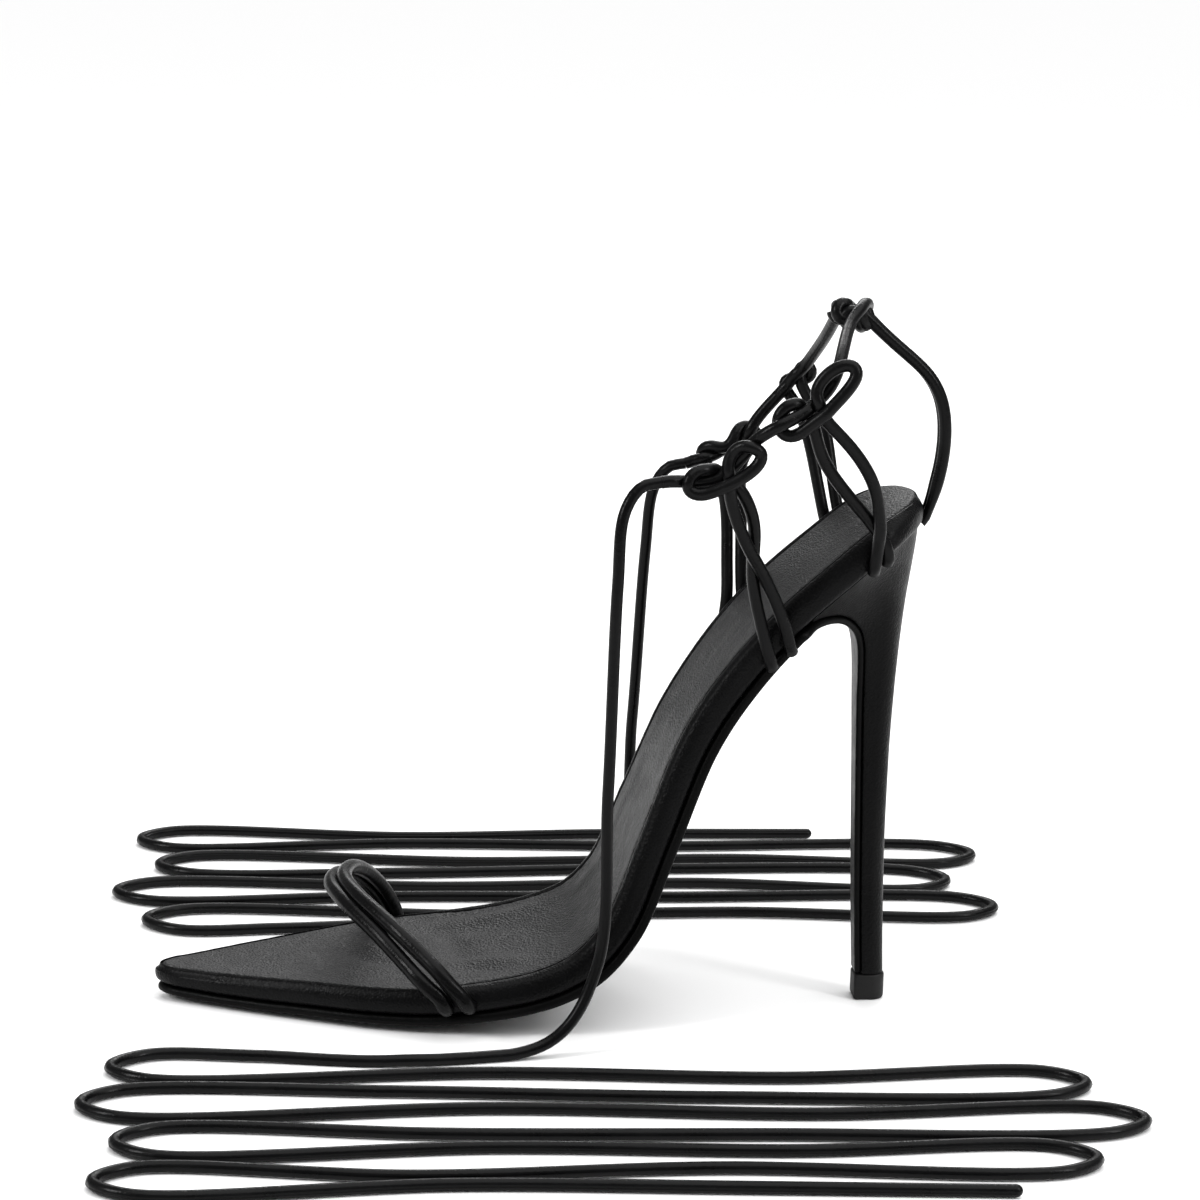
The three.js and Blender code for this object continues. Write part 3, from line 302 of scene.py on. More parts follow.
MAT_CORD = cord_leather("cord_leather")


# ------------------------------------------------------------------ cords
def frames_along(p):
    t = np.gradient(p, axis=0)
    t /= np.linalg.norm(t, axis=1)[:, None] + 1e-12
    n = np.zeros_like(p)
    ref = np.array([1.0, 0, 0]) if abs(t[0][0]) < 0.8 else np.array([0, 0, 1.0])
    n[0] = ref - t[0] * np.dot(ref, t[0])
    n[0] /= np.linalg.norm(n[0])
    for i in range(1, len(p)):
        v = n[i - 1] - t[i] * np.dot(n[i - 1], t[i])
        n[i] = v / (np.linalg.norm(v) + 1e-12)
    return t, n, np.cross(t, n)


def tube(name, path, diameter, material=None, sides=16, start="flat", end="flat", squash=None):
    """A cord as a mesh: `squash(i)` may give a direction and the share that is left along it."""
    t, n, b = frames_along(path)
    r = diameter / 2
    rings, us, radii = [], [], []
    s = np.concatenate([[0], np.cumsum(np.linalg.norm(np.diff(path, axis=0), axis=1))])
    items = [(path[i], n[i], b[i], r, s[i], i) for i in range(len(path))]
    if start == "round":
        cap = [(path[0] - t[0] * r * math.sin(a), n[0], b[0], r * math.cos(a), s[0], 0) for a in (1.4, 1.0, 0.5)]
        items = cap + items
    if end == "round":
        k = len(path) - 1
        items += [(path[k] + t[k] * r * math.sin(a), n[k], b[k], r * math.cos(a), s[k], k) for a in (0.5, 1.0, 1.4)]
    verts, faces, uvs = [], [], []
    for c, nn, bb, rr, ss, i in items:
        for j in range(sides):
            a = 2 * math.pi * j / sides
            off = nn * math.cos(a) * rr + bb * math.sin(a) * rr
            if squash is not None:
                direction, share = squash(i, len(path), s)
                off = off - direction * np.dot(off, direction) * (1 - share)
            verts.append(c + off)
        us.append(ss)
    for k in range(len(items) - 1):
        for j in range(sides):
            j2 = (j + 1) % sides
            faces.append((k * sides + j, k * sides + j2, (k + 1) * sides + j2, (k + 1) * sides + j))
            u0, u1 = j / sides, (j + 1) / sides
            v0, v1 = us[k] * MM, us[k + 1] * MM
            uvs.append(((u0, v0), (u1, v0), (u1, v1), (u0, v1)))
    faces.append(tuple(reversed(range(sides))))
    uvs.append(tuple((0.5, 0.0) for _ in range(sides)))
    first = (len(items) - 1) * sides
    faces.append(tuple(range(first, first + sides)))
    uvs.append(tuple((0.5, us[-1] * MM) for _ in range(sides)))
    return mesh_object(name, verts, faces, material or MAT_CORD, uvs, 60)


CORD, TOE_CORD = 3.0, 4.0
TIE_HEIGHT, TIE_BULB, TIE_TURN = 1.7, 2.4, 9.0
# drop: x, y, z; runs: out, end, first, second
TIES = {
    "lateral": {
        "side": 1,
        "drop": [(36.7, 21.9, 143.1), (37.4, 17.0, 142.0), (39.4, 12.8, 136.0), (41.2, 11.4, 118.0),
                 (43.6, 10.2, 66.0), (45.6, 8.4, 22.0), (49.4, -3.0, 4.2)],
        "runs": [(54, -111, 2.5, -1.5), (67.5, 127, -2, 2), (80, -117, 3.5, -1), (94, 136, -3, 1.5),
                 (106.5, -108, 3, 2), (120, 119, -2.5, 0.5), (132.5, -112, -1, 3.5), (145, 96, -3.5, -1)],
    },
    "medial": {
        "side": -1,
        "drop": [(-37.1, 35.6, 134.6), (-37.8, 31.2, 133.4), (-39.4, 27.6, 127.4), (-41.0, 26.0, 110.0),
                 (-43.0, 24.0, 64.0), (-45.0, 21.0, 21.0), (-50.0, 8.0, 4.2)],
        "runs": [(55, -106, 3, -1), (69, 131, -2.5, 1), (82.5, -115, 2, 2), (95.5, 122, -1.5, 3),
                 (109.5, -104, 3.5, -1.5), (122.5, 134, -3, 1), (136, -110, 1, 3), (149, 88, -3, 1)],
    },
}


def tie_route(side, drop, runs):
    route = list(drop)
    start = drop[-1][1]
    for k, (out, end, first, second) in enumerate(runs):
        to = 1 if end > 0 else -1
        route.append((side * (out + first), start + (end - start) * 0.36, TIE_HEIGHT))
        route.append((side * (out + second), start + (end - start) * 0.68, TIE_HEIGHT))
        if k == len(runs) - 1:
            route.append((side * (out + 2), end, TIE_HEIGHT))
            break
        after = runs[k + 1][0]
        route.append((side * (out - TIE_BULB), end - to * TIE_TURN, TIE_HEIGHT))
        route.append((side * (out + after) / 2, end, TIE_HEIGHT))
        route.append((side * (after + TIE_BULB), end - to * TIE_TURN, TIE_HEIGHT))
        start = end - to * TIE_TURN
    return route


for which, spec in TIES.items():
    path = catmull(tie_route(**spec), 2.0)
    path[:, 2] = np.maximum(path[:, 2], CORD / 2 + 0.05)
    length = float(np.linalg.norm(np.diff(path, axis=0), axis=1).sum())
    ob = tube("tie_" + which + "_cord", path, CORD, sides=12, start="flat", end="round")
    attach(ob, "root")
    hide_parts("tie_" + which)
    world = (path + SHIFT) * MM

TOE_REAR = [(35.4, -22.4, 8.4), (37.2, -23.3, 9.6), (37.8, -24.7, 11.8), (37.3, -27.5, 14.7), (35.6, -30.5, 17.8), (32.5, -33.7, 20.4), (25.0, -41.3, 25.9),
            (12.0, -50.2, 30.6), (0.0, -53.4, 32.0), (-12.0, -51.5, 31.2), (-22.0, -47.6, 27.4), (-31.0, -42.8, 20.4),
            (-36.7, -39.4, 13.2), (-38.0, -38.2, 9.0), (-37.7, -37.8, 6.4), (-36.2, -37.6, 4.9)]
TOE_FRONT = [(34.6, -28.0, 7.6), (36.4, -28.9, 8.9), (36.9, -30.0, 11.1), (36.3, -32.5, 13.3), (34.4, -35.6, 15.9), (31.0, -38.4, 18.2), (24.0, -45.0, 23.6),
             (12.0, -53.2, 28.6), (0.0, -56.7, 30.2), (-12.0, -54.9, 29.4), (-22.0, -50.9, 25.6), (-30.4, -46.2, 19.0),
             (-35.2, -43.0, 12.4), (-36.6, -42.0, 8.6), (-36.4, -41.7, 6.2), (-34.9, -41.5, 4.7)]
LATERAL_FRONT = [(26.7, 56.9, 98.4), (28.2, 56.0, 100.4), (28.4, 55.3, 103.7), (29.5, 51.7, 112.6), (31.0, 48.3, 119.3), (33.6, 43.8, 126.8),
                 (35.0, 40.1, 135.3), (35.2, 38.4, 141.8), (35.4, 37.7, 146.1), (36.4, 38.2, 150.0), (37.2, 40.2, 152.7),
                 (37.8, 44.1, 153.5), (38.2, 47.3, 150.9), (38.8, 44.9, 147.0), (39.2, 37.4, 142.8), (38.4, 30.7, 139.6),
                 (37.4, 27.1, 141.1), (36.8, 27.5, 144.2), (36.8, 30.4, 146.5), (36.2, 33.9, 146.4), (34.2, 37.1, 144.9),
                 (34.0, 40.5, 142.6), (33.0, 43.4, 138.5), (31.2, 45.9, 131.6), (29.8, 46.0, 125.0), (29.0, 45.9, 117.7),
                 (28.6, 47.2, 111.3), (28.4, 49.0, 104.6), (28.3, 51.3, 96.6), (26.8, 52.0, 94.4)]
LATERAL_REAR = [(24.9, 76.9, 118.6), (26.9, 77.0, 121.0), (27.4, 77.6, 126.0), (28.8, 77.4, 132.5), (31.0, 75.4, 141.5), (33.0, 71.3, 148.5),
                (35.0, 65.8, 154.8), (36.2, 60.8, 159.4), (36.6, 58.1, 163.2), (37.0, 58.4, 166.4), (37.4, 60.7, 170.0),
                (37.6, 64.5, 173.0), (37.8, 68.1, 173.6), (38.2, 69.9, 171.5), (39.0, 67.2, 167.4), (39.4, 62.4, 162.4),
                (39.0, 57.3, 157.6), (38.0, 53.1, 153.9), (37.4, 49.9, 155.5), (37.2, 49.1, 159.4), (37.0, 51.7, 162.9),
                (36.6, 55.4, 163.6), (35.4, 58.3, 161.7), (34.2, 59.1, 157.6), (32.4, 61.7, 148.8), (30.0, 67.9, 140.2),
                (27.9, 73.7, 133.7), (26.6, 77.6, 129.0), (26.2, 80.4, 123.6), (24.4, 80.2, 120.9)]
LATERAL_RUN = [(36.7, 21.9, 143.1), (36.6, 22.8, 143.2), (36.2, 26.6, 143.4), (35.4, 31.2, 142.8), (34.6, 35.4, 143.4),
               (35.4, 39.2, 146.6), (36.6, 42.1, 150.8), (38.4, 45.4, 154.9), (39.2, 48.9, 157.3), (38.6, 52.6, 159.2),
               (37.0, 56.7, 160.7), (36.0, 60.2, 163.6), (35.4, 62.8, 166.7), (32.0, 64.9, 170.2), (26.0, 66.6, 173.5),
               (17.0, 68.8, 176.6), (8.6, 71.2, 179.6), (3.4, 74.2, 181.8), (-1.4, 76.4, 182.4), (-4.4, 76.6, 179.4),
               (-2.6, 75.8, 176.6), (1.6, 75.0, 176.4), (4.2, 74.2, 178.6), (2.4, 72.4, 181.4), (-0.6, 71.4, 182.4)]
MEDIAL_FRONT = [(-26.8, 45.7, 91.8), (-28.4, 46.0, 94.6), (-28.8, 46.8, 99.6), (-32.0, 46.8, 109.7), (-35.0, 46.8, 119.9),
                (-36.4, 45.9, 127.7), (-37.0, 43.2, 132.9), (-37.4, 40.0, 134.6), (-37.6, 39.1, 137.5),
                (-37.6, 41.4, 139.4), (-37.2, 44.1, 137.7), (-36.8, 46.7, 138.3), (-37.0, 49.3, 141.0),
                (-37.2, 51.3, 145.2), (-37.0, 54.5, 144.2), (-36.8, 54.6, 140.8), (-36.4, 51.9, 138.7),
                (-36.0, 49.9, 135.3), (-35.4, 50.1, 127.9), (-33.6, 50.5, 117.5), (-30.4, 50.4, 107.4),
                (-28.8, 50.8, 99.0), (-26.9, 51.5, 95.2)]
MEDIAL_REAR = [(-25.9, 73.6, 114.8), (-27.9, 73.0, 117.6), (-28.6, 71.7, 122.2), (-31.0, 70.1, 130.3), (-34.6, 68.1, 140.3),
               (-36.4, 65.3, 149.3), (-37.2, 62.6, 153.1), (-37.6, 60.0, 154.9), (-37.8, 60.7, 158.0),
               (-37.4, 64.1, 157.9), (-36.8, 66.7, 156.4), (-36.6, 68.7, 158.6), (-36.8, 68.1, 161.5),
               (-37.2, 65.2, 161.9), (-36.6, 63.7, 159.3), (-36.0, 65.9, 154.7), (-35.6, 69.5, 149.5),
               (-35.0, 72.3, 143.7), (-32.0, 73.5, 134.7), (-28.2, 75.4, 123.0), (-27.2, 76.3, 119.8), (-25.3, 76.6, 117.6)]
MEDIAL_RUN = [(-37.1, 35.6, 134.6), (-37.0, 36.6, 134.9), (-37.4, 39.4, 136.2), (-37.6, 43.1, 137.6),
              (-37.4, 47.3, 139.3), (-37.0, 50.8, 142.6), (-37.0, 53.6, 146.4), (-37.0, 56.6, 149.9),
              (-37.0, 60.0, 153.6), (-36.6, 63.0, 156.9), (-35.0, 65.3, 160.1), (-30.0, 67.1, 164.6),
              (-20.0, 68.6, 170.6), (-11.0, 69.5, 176.1), (-5.4, 70.0, 179.8), (-1.6, 70.4, 182.4),
              (2.6, 70.8, 182.6), (4.6, 71.4, 179.4), (2.4, 71.8, 176.8), (-1.8, 71.6, 177.0), (-3.6, 72.6, 180.0)]
BACK_LOOP = [(73.4, 180.6), (75.6, 180.0), (79.4, 176.6), (83.9, 172.6), (88.4, 169.0), (92.9, 165.0), (96.4, 158.9),
             (97.7, 150.7), (97.2, 142.4), (95.9, 136.0), (94.7, 131.6), (93.8, 129.0), (92.3, 126.9)]

network = {
    "strap_lateral_front": LATERAL_FRONT,
    "strap_lateral_rear": LATERAL_REAR,
    "strap_lateral_run": LATERAL_RUN,
    "strap_medial_front": MEDIAL_FRONT,
    "strap_medial_rear": MEDIAL_REAR,
    "strap_medial_run": MEDIAL_RUN,
    "strap_back_lateral": [(1.55, y, z) for y, z in BACK_LOOP],
    "strap_back_medial": [(-1.55, y, z) for y, z in BACK_LOOP],
}
paths = {k: catmull(v, 1.0) for k, v in network.items()}


def settle(paths, apart, rounds):
    """Pushes the cords off each other where they cross, so that the knots interlace."""
    names = list(paths)
    rest = np.vstack([paths[k] for k in names])
    owner = np.concatenate([np.full(len(paths[k]), i) for i, k in enumerate(names)])
    index = np.concatenate([np.arange(len(paths[k])) for k in names])
    last = np.array([len(paths[k]) - 1 for k in names])[owner]
    fixed = (index < 3) | (index > last - 3)
    p = rest.copy()
    same = owner[:, None] == owner[None, :]
    near = same & (np.abs(index[:, None] - index[None, :]) < 5)
    for k in range(rounds):
        d = p[:, None, :] - p[None, :, :]
        dist = np.linalg.norm(d, axis=2)
        hit = (dist < apart) & ~near
        push = np.where(hit, (apart - dist) * 0.5 / (dist + 1e-6), 0.0)
        count = np.maximum(hit.sum(axis=1), 1)
        move = (d * push[:, :, None]).sum(axis=1) / np.sqrt(count)[:, None]
        size = np.linalg.norm(move, axis=1)
        move *= np.minimum(1.0, 0.35 / (size + 1e-9))[:, None]
        p = p + np.where(fixed[:, None], 0, move)
        mid = p.copy()
        mid[1:-1] = (p[:-2] + p[2:]) / 2
        inner = ~fixed & (index > 0) & (index < last)
        p[inner] += 0.3 * (mid[inner] - p[inner])
        p[inner] += 0.02 * (rest[inner] - p[inner])
    out, at = {}, 0
    for k in names:
        out[k] = p[at : at + len(paths[k])]
        at += len(paths[k])
    return out


paths = settle(paths, 2.75, 70)


def coil(centre, axis, radius, turns, pitch):
    """A tight wrap of cord round a knot."""
    c, ax = np.array(centre, float), np.array(axis, float)
    ax /= np.linalg.norm(ax)
    e1 = np.cross(ax, (0, 0, 1.0))
    e1 /= np.linalg.norm(e1)
    e2 = np.cross(ax, e1)
    a = np.linspace(0, 2 * np.pi * turns, int(18 * turns))
    return np.stack([c + radius * (math.cos(q) * e1 + math.sin(q) * e2) + ax * pitch * (q / (2 * np.pi) - turns / 2) for q in a])


paths["strap_top_wrap"] = coil((2.6, 69.9, 181.0), (1.0, 0.25, 0.1), 2.0, 1.4, 2.8)
paths["strap_top_turn"] = coil((0.8, 75.0, 179.6), (1.0, -0.3, 0.5), 1.7, 1.3, 2.6)
paths["strap_top_over"] = catmull([(3.4, 69.0, 178.6), (4.4, 71.2, 181.2), (4.2, 73.4, 181.0), (3.6, 74.8, 178.8), (2.0, 76.2, 177.4)], 1.0)


def leg_squash(direction, flat_ends):
    """Flattens a cord where it lies on the footbed's edge."""
    direction = np.array(direction, float)

    def f(i, n, s):
        share = 1.0
        if "start" in flat_ends:
            share = min(share, 0.72 + 0.28 * float(smooth(3, 12, s[i])))
        if "end" in flat_ends:
            share = min(share, 0.72 + 0.28 * float(smooth(3, 12, s[-1] - s[i])))
        return direction, share

    return f


for name, path in paths.items():
    ends = {"strap_lateral_front": "start end", "strap_lateral_rear": "start end", "strap_medial_front": "start end",
            "strap_medial_rear": "start end", "strap_back_lateral": "end", "strap_back_medial": "end"}.get(name, "")
    squash = leg_squash((0, 1, 0) if "back" in name else (1, 0, 0), ends) if ends else None
    ob = tube(name, path, CORD * 1.07, squash=squash, start="round" if "back" in name else "flat", end="round" if "run" in name else "flat")
    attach(ob, "root")
    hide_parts("ankle_straps")
for name, rows in (("toe_cord_rear", TOE_REAR), ("toe_cord_front", TOE_FRONT)):
    path = catmull(rows, 1.2)
    ob = tube(name, path, TOE_CORD, sides=20, squash=leg_squash((1, 0, 0), "start end"))
    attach(ob, "root")
    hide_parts("toe_strap")

# ------------------------------------------------------------------ the last
GAP = 0.3
TOE_Y, SEAT_Y, TOE_ROUND, SEAT_ROUND = -102.0, 92.5, 6.0, 17.0
SOCK_THICK, SOCK_REBATE, RIM_EDGE = 0.9, 1.15, 1.2
RIM = [(-102, 1.6), (-40, 1.8), (-30, 3.2), (-20, 4.9), (66, 4.9), (76, 4.2), (83, 2.9), (88, 2.0), (92.5, 1.7)]
TOP_PIECE_HIGH, FLARE, FLAP_THICK, BREAST_Y, HEEL_INSET = 6.8, 13.0, 1.9, 62.6, 1.5
EDGE = [(-102, 9.0), (-90, 9.35), (-75, 10.1), (-60, 10.9), (-48, 11.3), (-36, 11.75), (-24, 13.0), (-12, 15.1),
        (-4, 17.4), (4, 21.2), (12, 30.0), (20, 50.2), (30, 75.5), (42, 94.7), (54, 108.6), (66, 119.6), (76, 127.9),
        (81, 131.1), (86, 133.2), (90, 134.0), (92.5, 134.1)]
PLAN = [(-102, 5.2, 5.0), (-96, 7.4, 7.0), (-85, 13.0, 12.9), (-65, 22.3, 22.6), (-45, 30.4, 32.5), (-25, 34.6, 37.4),
        (-5, 35.8, 36.3), (15, 31.2, 30.8), (35, 25.5, 25.2), (52, 26.2, 26.6), (66, 26.1, 26.0), (78, 24.2, 24.2),
        (88, 22.4, 22.6), (92.5, 22.2, 22.2)]
LAYERS = [(-102, 4.5, 2.2, 0.0, 0.0), (-90, 5.2, 2.3, 0.6, 0.1), (-70, 6.0, 2.5, 1.4, 0.3), (-50, 6.4, 2.6, 2.1, 0.6),
          (-30, 6.6, 2.6, 2.3, 0.8), (-10, 6.8, 2.7, 2.0, 0.6), (10, 6.9, 2.8, 1.0, 0.4), (30, 7.1, 2.8, 0.3, 0.4),
          (45, 7.3, 2.6, 0.0, 0.6), (70, 7.3, 2.2, 0.0, 0.4), (92.5, 6.5, 2.0, 0.0, -1.0)]
FLAP = [(60.2, 103.6), (63.2, 105.0), (67.3, 105.5), (71.6, 104.7), (75.0, 102.5), (77.2, 99.6), (78.3, 95.8),
        (78.7, 91.2), (79.0, 79.4), (79.5, 63.6), (80.1, 43.6), (80.8, 24.4), (81.7, 6.4)]
HEEL = [(-4, 91.5, 4.9, 17.0), (0, 91.5, 4.9, 17.0), (5, 91.2, 4.9, 12.5), (10, 90.6, 4.9, 9.0), (20, 89.2, 4.8, 6.0),
        (30, 88.2, 4.8, 4.8), (42, 87.4, 4.7, 4.4), (58, 86.8, 4.6, 4.2), (79, 86.6, 4.5, 4.1), (101, 87.0, 4.2, 4.0),
        (125, 87.9, 3.8, 3.8)]
plan_lat, plan_med = through(PLAN, 1), through(PLAN, 2)
edge_thick, sole_thick, belly, dish = (through(LAYERS, k) for k in (1, 2, 3, 4))


class Frames:
    """Side-view curve: place and upward normal by length along it."""

    def __init__(self, y, z, ny=None, nz=None, own=None, flap=None):
        self.y, self.z = np.asarray(y, float), np.asarray(z, float)
        self.s = np.concatenate([[0], np.cumsum(np.hypot(np.diff(self.y), np.diff(self.z)))])
        if ny is None:
            reach = 9
            i = np.arange(len(self.y))
            a, b = np.maximum(0, i - reach), np.minimum(len(i) - 1, i + reach)
            dy, dz = self.y[b] - self.y[a], self.z[b] - self.z[a]
            length = np.hypot(dy, dz)
            ny, nz = -dz / length, dy / length
        self.ny, self.nz = np.asarray(ny, float), np.asarray(nz, float)
        self.own = self.s if own is None else np.asarray(own, float)
        self.flap = np.zeros(len(self.y)) if flap is None else np.asarray(flap, float)
        self.length = self.s[-1]

    def at(self, s, key):
        return np.interp(s, self.s, getattr(self, key))

    def place(self, s, x, d):
        ny, nz = self.at(s, "ny"), self.at(s, "nz")
        k = np.hypot(ny, nz)
        return np.stack([x, self.at(s, "y") - ny / k * d, self.at(s, "z") - nz / k * d], axis=-1)


yy = np.linspace(TOE_Y, SEAT_Y, 641)
SIDE = Frames(yy, through(EDGE, 1)(yy))
LENGTH = SIDE.length


def plate(frames, stations, half_lat, half_med, rings, top, bottom):
    """The outline in rings, each moved in and down, closed by rungs across; see the CAD model."""
    n = len(stations)
    lat, med = half_lat(stations).copy(), half_med(stations).copy()
    lat[0] = lat[-1] = med[0] = med[-1] = 0
    so = np.concatenate([stations, stations[-2:0:-1]])
    xo = np.concatenate([lat, -med[-2:0:-1]])
    m = len(so)
    ds, dx = np.roll(so, -1) - np.roll(so, 1), np.roll(xo, -1) - np.roll(xo, 1)
    length = np.hypot(ds, dx)
    ins, inx = dx / length, -ds / length
    verts, faces = [], []
    for inset, depth in rings:
        by = inset(so) if callable(inset) else inset
        s, x = so + ins * by, xo + inx * by
        verts.extend(frames.place(s, x, depth(s, x)))
    for k in range(len(rings) - 1):
        for i in range(m):
            j = (i + 1) % m
            faces.append((k * m + i, k * m + j, (k + 1) * m + j, (k + 1) * m + i))
    for which, (shares, depth), flip in ((0, top, True), (len(rings) - 1, bottom, False)):
        inset = rings[which][0]
        by = inset(so) if callable(inset) else inset
        s, x = so + ins * by, xo + inx * by
        lat_i = np.arange(1, n - 1)
        med_i = m - lat_i
        columns = [which * m + lat_i]
        for share in shares:
            t = (1 - share) / 2
            ss = s[lat_i] + (s[med_i] - s[lat_i]) * t
            xx = x[lat_i] + (x[med_i] - x[lat_i]) * t
            first = len(verts)
            verts.extend(frames.place(ss, xx, depth(ss, xx)))
            columns.append(np.arange(first, first + len(ss)))
        columns.append(which * m + med_i)
        grid = np.stack(columns, axis=1)
        toe, seat = which * m, which * m + n - 1

        def face(*f):
            faces.append(tuple(int(q) for q in (reversed(f) if flip else f)))

        for k in range(grid.shape[1] - 1):
            face(toe, grid[0][k], grid[0][k + 1])
            face(seat, grid[-1][k + 1], grid[-1][k])
            for j in range(len(grid) - 1):
                face(grid[j][k], grid[j + 1][k], grid[j + 1][k + 1], grid[j][k + 1])
    return np.array(verts), outward(verts, faces)


def stations_along(length, first, last, middle, steps_first, steps_last):
    a = first * (1 - np.cos(np.pi / 2 * np.arange(steps_first) / steps_first))
    b = np.linspace(first, length - last, middle + 1)
    c = length - last * (1 - np.cos(np.pi / 2 * np.arange(steps_last - 1, -1, -1) / steps_last)) if last else []
    return np.concatenate([a, b, c])


def ends_of(s):
    return rounding(s, TOE_ROUND) * rounding(LENGTH - s, SEAT_ROUND)


def foot_lat(s):
    return plan_lat(SIDE.at(s, "y")) * ends_of(s)


def foot_med(s):
    return plan_med(SIDE.at(s, "y")) * ends_of(s)


def across(s, x):
    y = SIDE.at(s, "y")
    return np.clip(np.abs(x) / np.where(x > 0, plan_lat(y), plan_med(y)), 0, 1)


def belly_at(s, x):
    return belly(SIDE.at(s, "y")) * (1 - across(s, x) ** 2)


def dish_at(s, x):
    return dish(SIDE.at(s, "y")) * (1 - across(s, x) ** 2)


def edge_at(s):
    return edge_thick(SIDE.at(s, "y"))


def under_footbed(s, x):
    return edge_at(s) + belly_at(s, x)


# Small waves in the wrapped leather's bead, stronger where the edge turns at ball and arch.
def bead_wave(s, x):
    y = SIDE.at(s, "y")
    turn = np.exp(-(((y - 2) / 26.0) ** 2)) + 0.35
    return 0.07 * turn * (np.sin(s * 0.83 + np.sign(x) * 1.3) * np.sin(s * 0.29 + 2.0) + 0.5 * np.sin(s * 2.1 + x * 0.2))


dense = stations_along(LENGTH, TOE_ROUND, SEAT_ROUND, 190, 14, 22)
rim_wide = through(RIM, 1)


def rim_k(s):
    return (rim_wide(SIDE.at(s, "y")) - RIM_EDGE) / (4.9 - RIM_EDGE)


def on_rim(inset, plus=0.0):
    """A place on the rim, given for its full width of 4.9 mm."""
    if inset <= RIM_EDGE:
        return inset
    return lambda s: RIM_EDGE + (inset - RIM_EDGE) * rim_k(s) + plus


def crease_line(s, x):
    # The fold that runs beside the sock's cut edge.
    return 0.6 * smooth(0.3, 0.7, rim_k(s))


bead = [(on_rim(4.9), lambda s, x: SOCK_REBATE + dish_at(s, x)),
        (on_rim(4.8), lambda s, x: 0.62 + 0.6 * dish_at(s, x)),
        (on_rim(4.65), lambda s, x: 0.14 + 0.5 * dish_at(s, x)),
        (on_rim(4.4), lambda s, x: -0.06 + 0.4 * dish_at(s, x) + bead_wave(s, x)),
        (on_rim(4.1), lambda s, x: -0.06 + 0.3 * dish_at(s, x) + bead_wave(s, x)),
        (on_rim(3.85), lambda s, x: 0.04 + 0.3 * dish_at(s, x) + crease_line(s, x)),
        (on_rim(3.7), lambda s, x: 0.04 + 0.2 * dish_at(s, x) + crease_line(s, x)),
        (on_rim(3.45), lambda s, x: 0.02 + 0.1 * dish_at(s, x)),
        (on_rim(3.0), lambda s, x: 0.04 + 0.6 * bead_wave(s, x)),
        (on_rim(2.4), lambda s, x: 0.14 + 0.6 * bead_wave(s, x)),
        (on_rim(1.8), lambda s, x: 0.36 + 0.3 * bead_wave(s, x)),
        (1.2, lambda s, x: 0.72 + 0 * s),
        (0.8, lambda s, x: 1.08 + 0 * s),
        (0.45, lambda s, x: edge_at(s) * 0.12 + 1.0),
        (0.2, lambda s, x: edge_at(s) * 0.34),
        (0.05, lambda s, x: edge_at(s) * 0.48),
        (0.1, lambda s, x: edge_at(s) * 0.62),
        (0.24, lambda s, x: edge_at(s) * 0.76),
        (0.5, lambda s, x: edge_at(s) * 0.87),
        (0.95, lambda s, x: edge_at(s) * 0.95 + 0.2 * belly_at(s, x)),
        (1.7, under_footbed)]
v, f = plate(SIDE, dense, foot_lat, foot_med, bead, ([0], lambda s, x: SOCK_REBATE + dish_at(s, x)), ([0.5, 0, -0.5], under_footbed))
ob = mesh_object("footbed_wrapped", v, f, MAT_EDGE, sharp_deg=60)
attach(ob, "root")
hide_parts("footbed")

# The sock, with creases as soft troughs (height below 0) and ridges, each from one point to another.
CREASES = [
    # x0, y0, x1, y1, height, width
    (-24.5, -28.0, -22.5, 0.0, 0.9, 3.2),
    (-29.0, -36.0, -28.0, -12.0, -0.5, 2.6),
    (-17.0, -32.0, -14.0, -8.0, -0.8, 4.2),
    (-14.0, -26.0, 2.0, -23.0, -0.8, 3.4),
    (2.0, -26.0, 10.0, -19.0, -0.5, 2.8),
    (8.0, -24.0, 20.0, -6.0, 0.8, 3.4),
    (15.0, -26.0, 24.0, -12.0, -0.6, 2.6),
    (-6.0, -54.0, 9.0, -41.0, -0.7, 2.8),
    (-15.0, -52.0, 0.0, -41.0, 0.6, 3.0),
    (-12.0, -8.0, 14.0, 3.0, -0.4, 5.0),
    (-18.0, 4.0, -14.0, 26.0, 0.35, 3.0),
    (-14.0, 76.0, -4.0, 84.0, -0.25, 2.5),
    (2.0, 72.0, 12.0, 80.0, 0.25, 3.0),
]


def creases(s, x):
    y = SIDE.at(s, "y")
    h = np.zeros_like(x)
    for x0, y0, x1, y1, height, width in CREASES:
        dx, dy = x1 - x0, y1 - y0
        t = np.clip(((x - x0) * dx + (y - y0) * dy) / (dx * dx + dy * dy), 0, 1)
        d = np.hypot(x - x0 - t * dx, y - y0 - t * dy)
        h = h + height * np.exp(-((d / width) ** 2)) * np.sin(np.pi * np.clip(t * 0.8 + 0.1, 0, 1))
    rim = 1 - across(s, x) ** 6
    return h * rim


def sock_floor(s, x):
    return SOCK_REBATE + dish_at(s, x) - GAP


def sock_top(s, x):
    return SOCK_REBATE + dish_at(s, x) - GAP - SOCK_THICK - creases(s, x)


def sock_edge(s, x):
    # Where the last turns up, the sock's edge waves a little.
    y = SIDE.at(s, "y")
    return 0.10 * np.exp(-(((y + 10) / 30.0) ** 2)) * np.sin(s * 1.7 + np.sign(x))


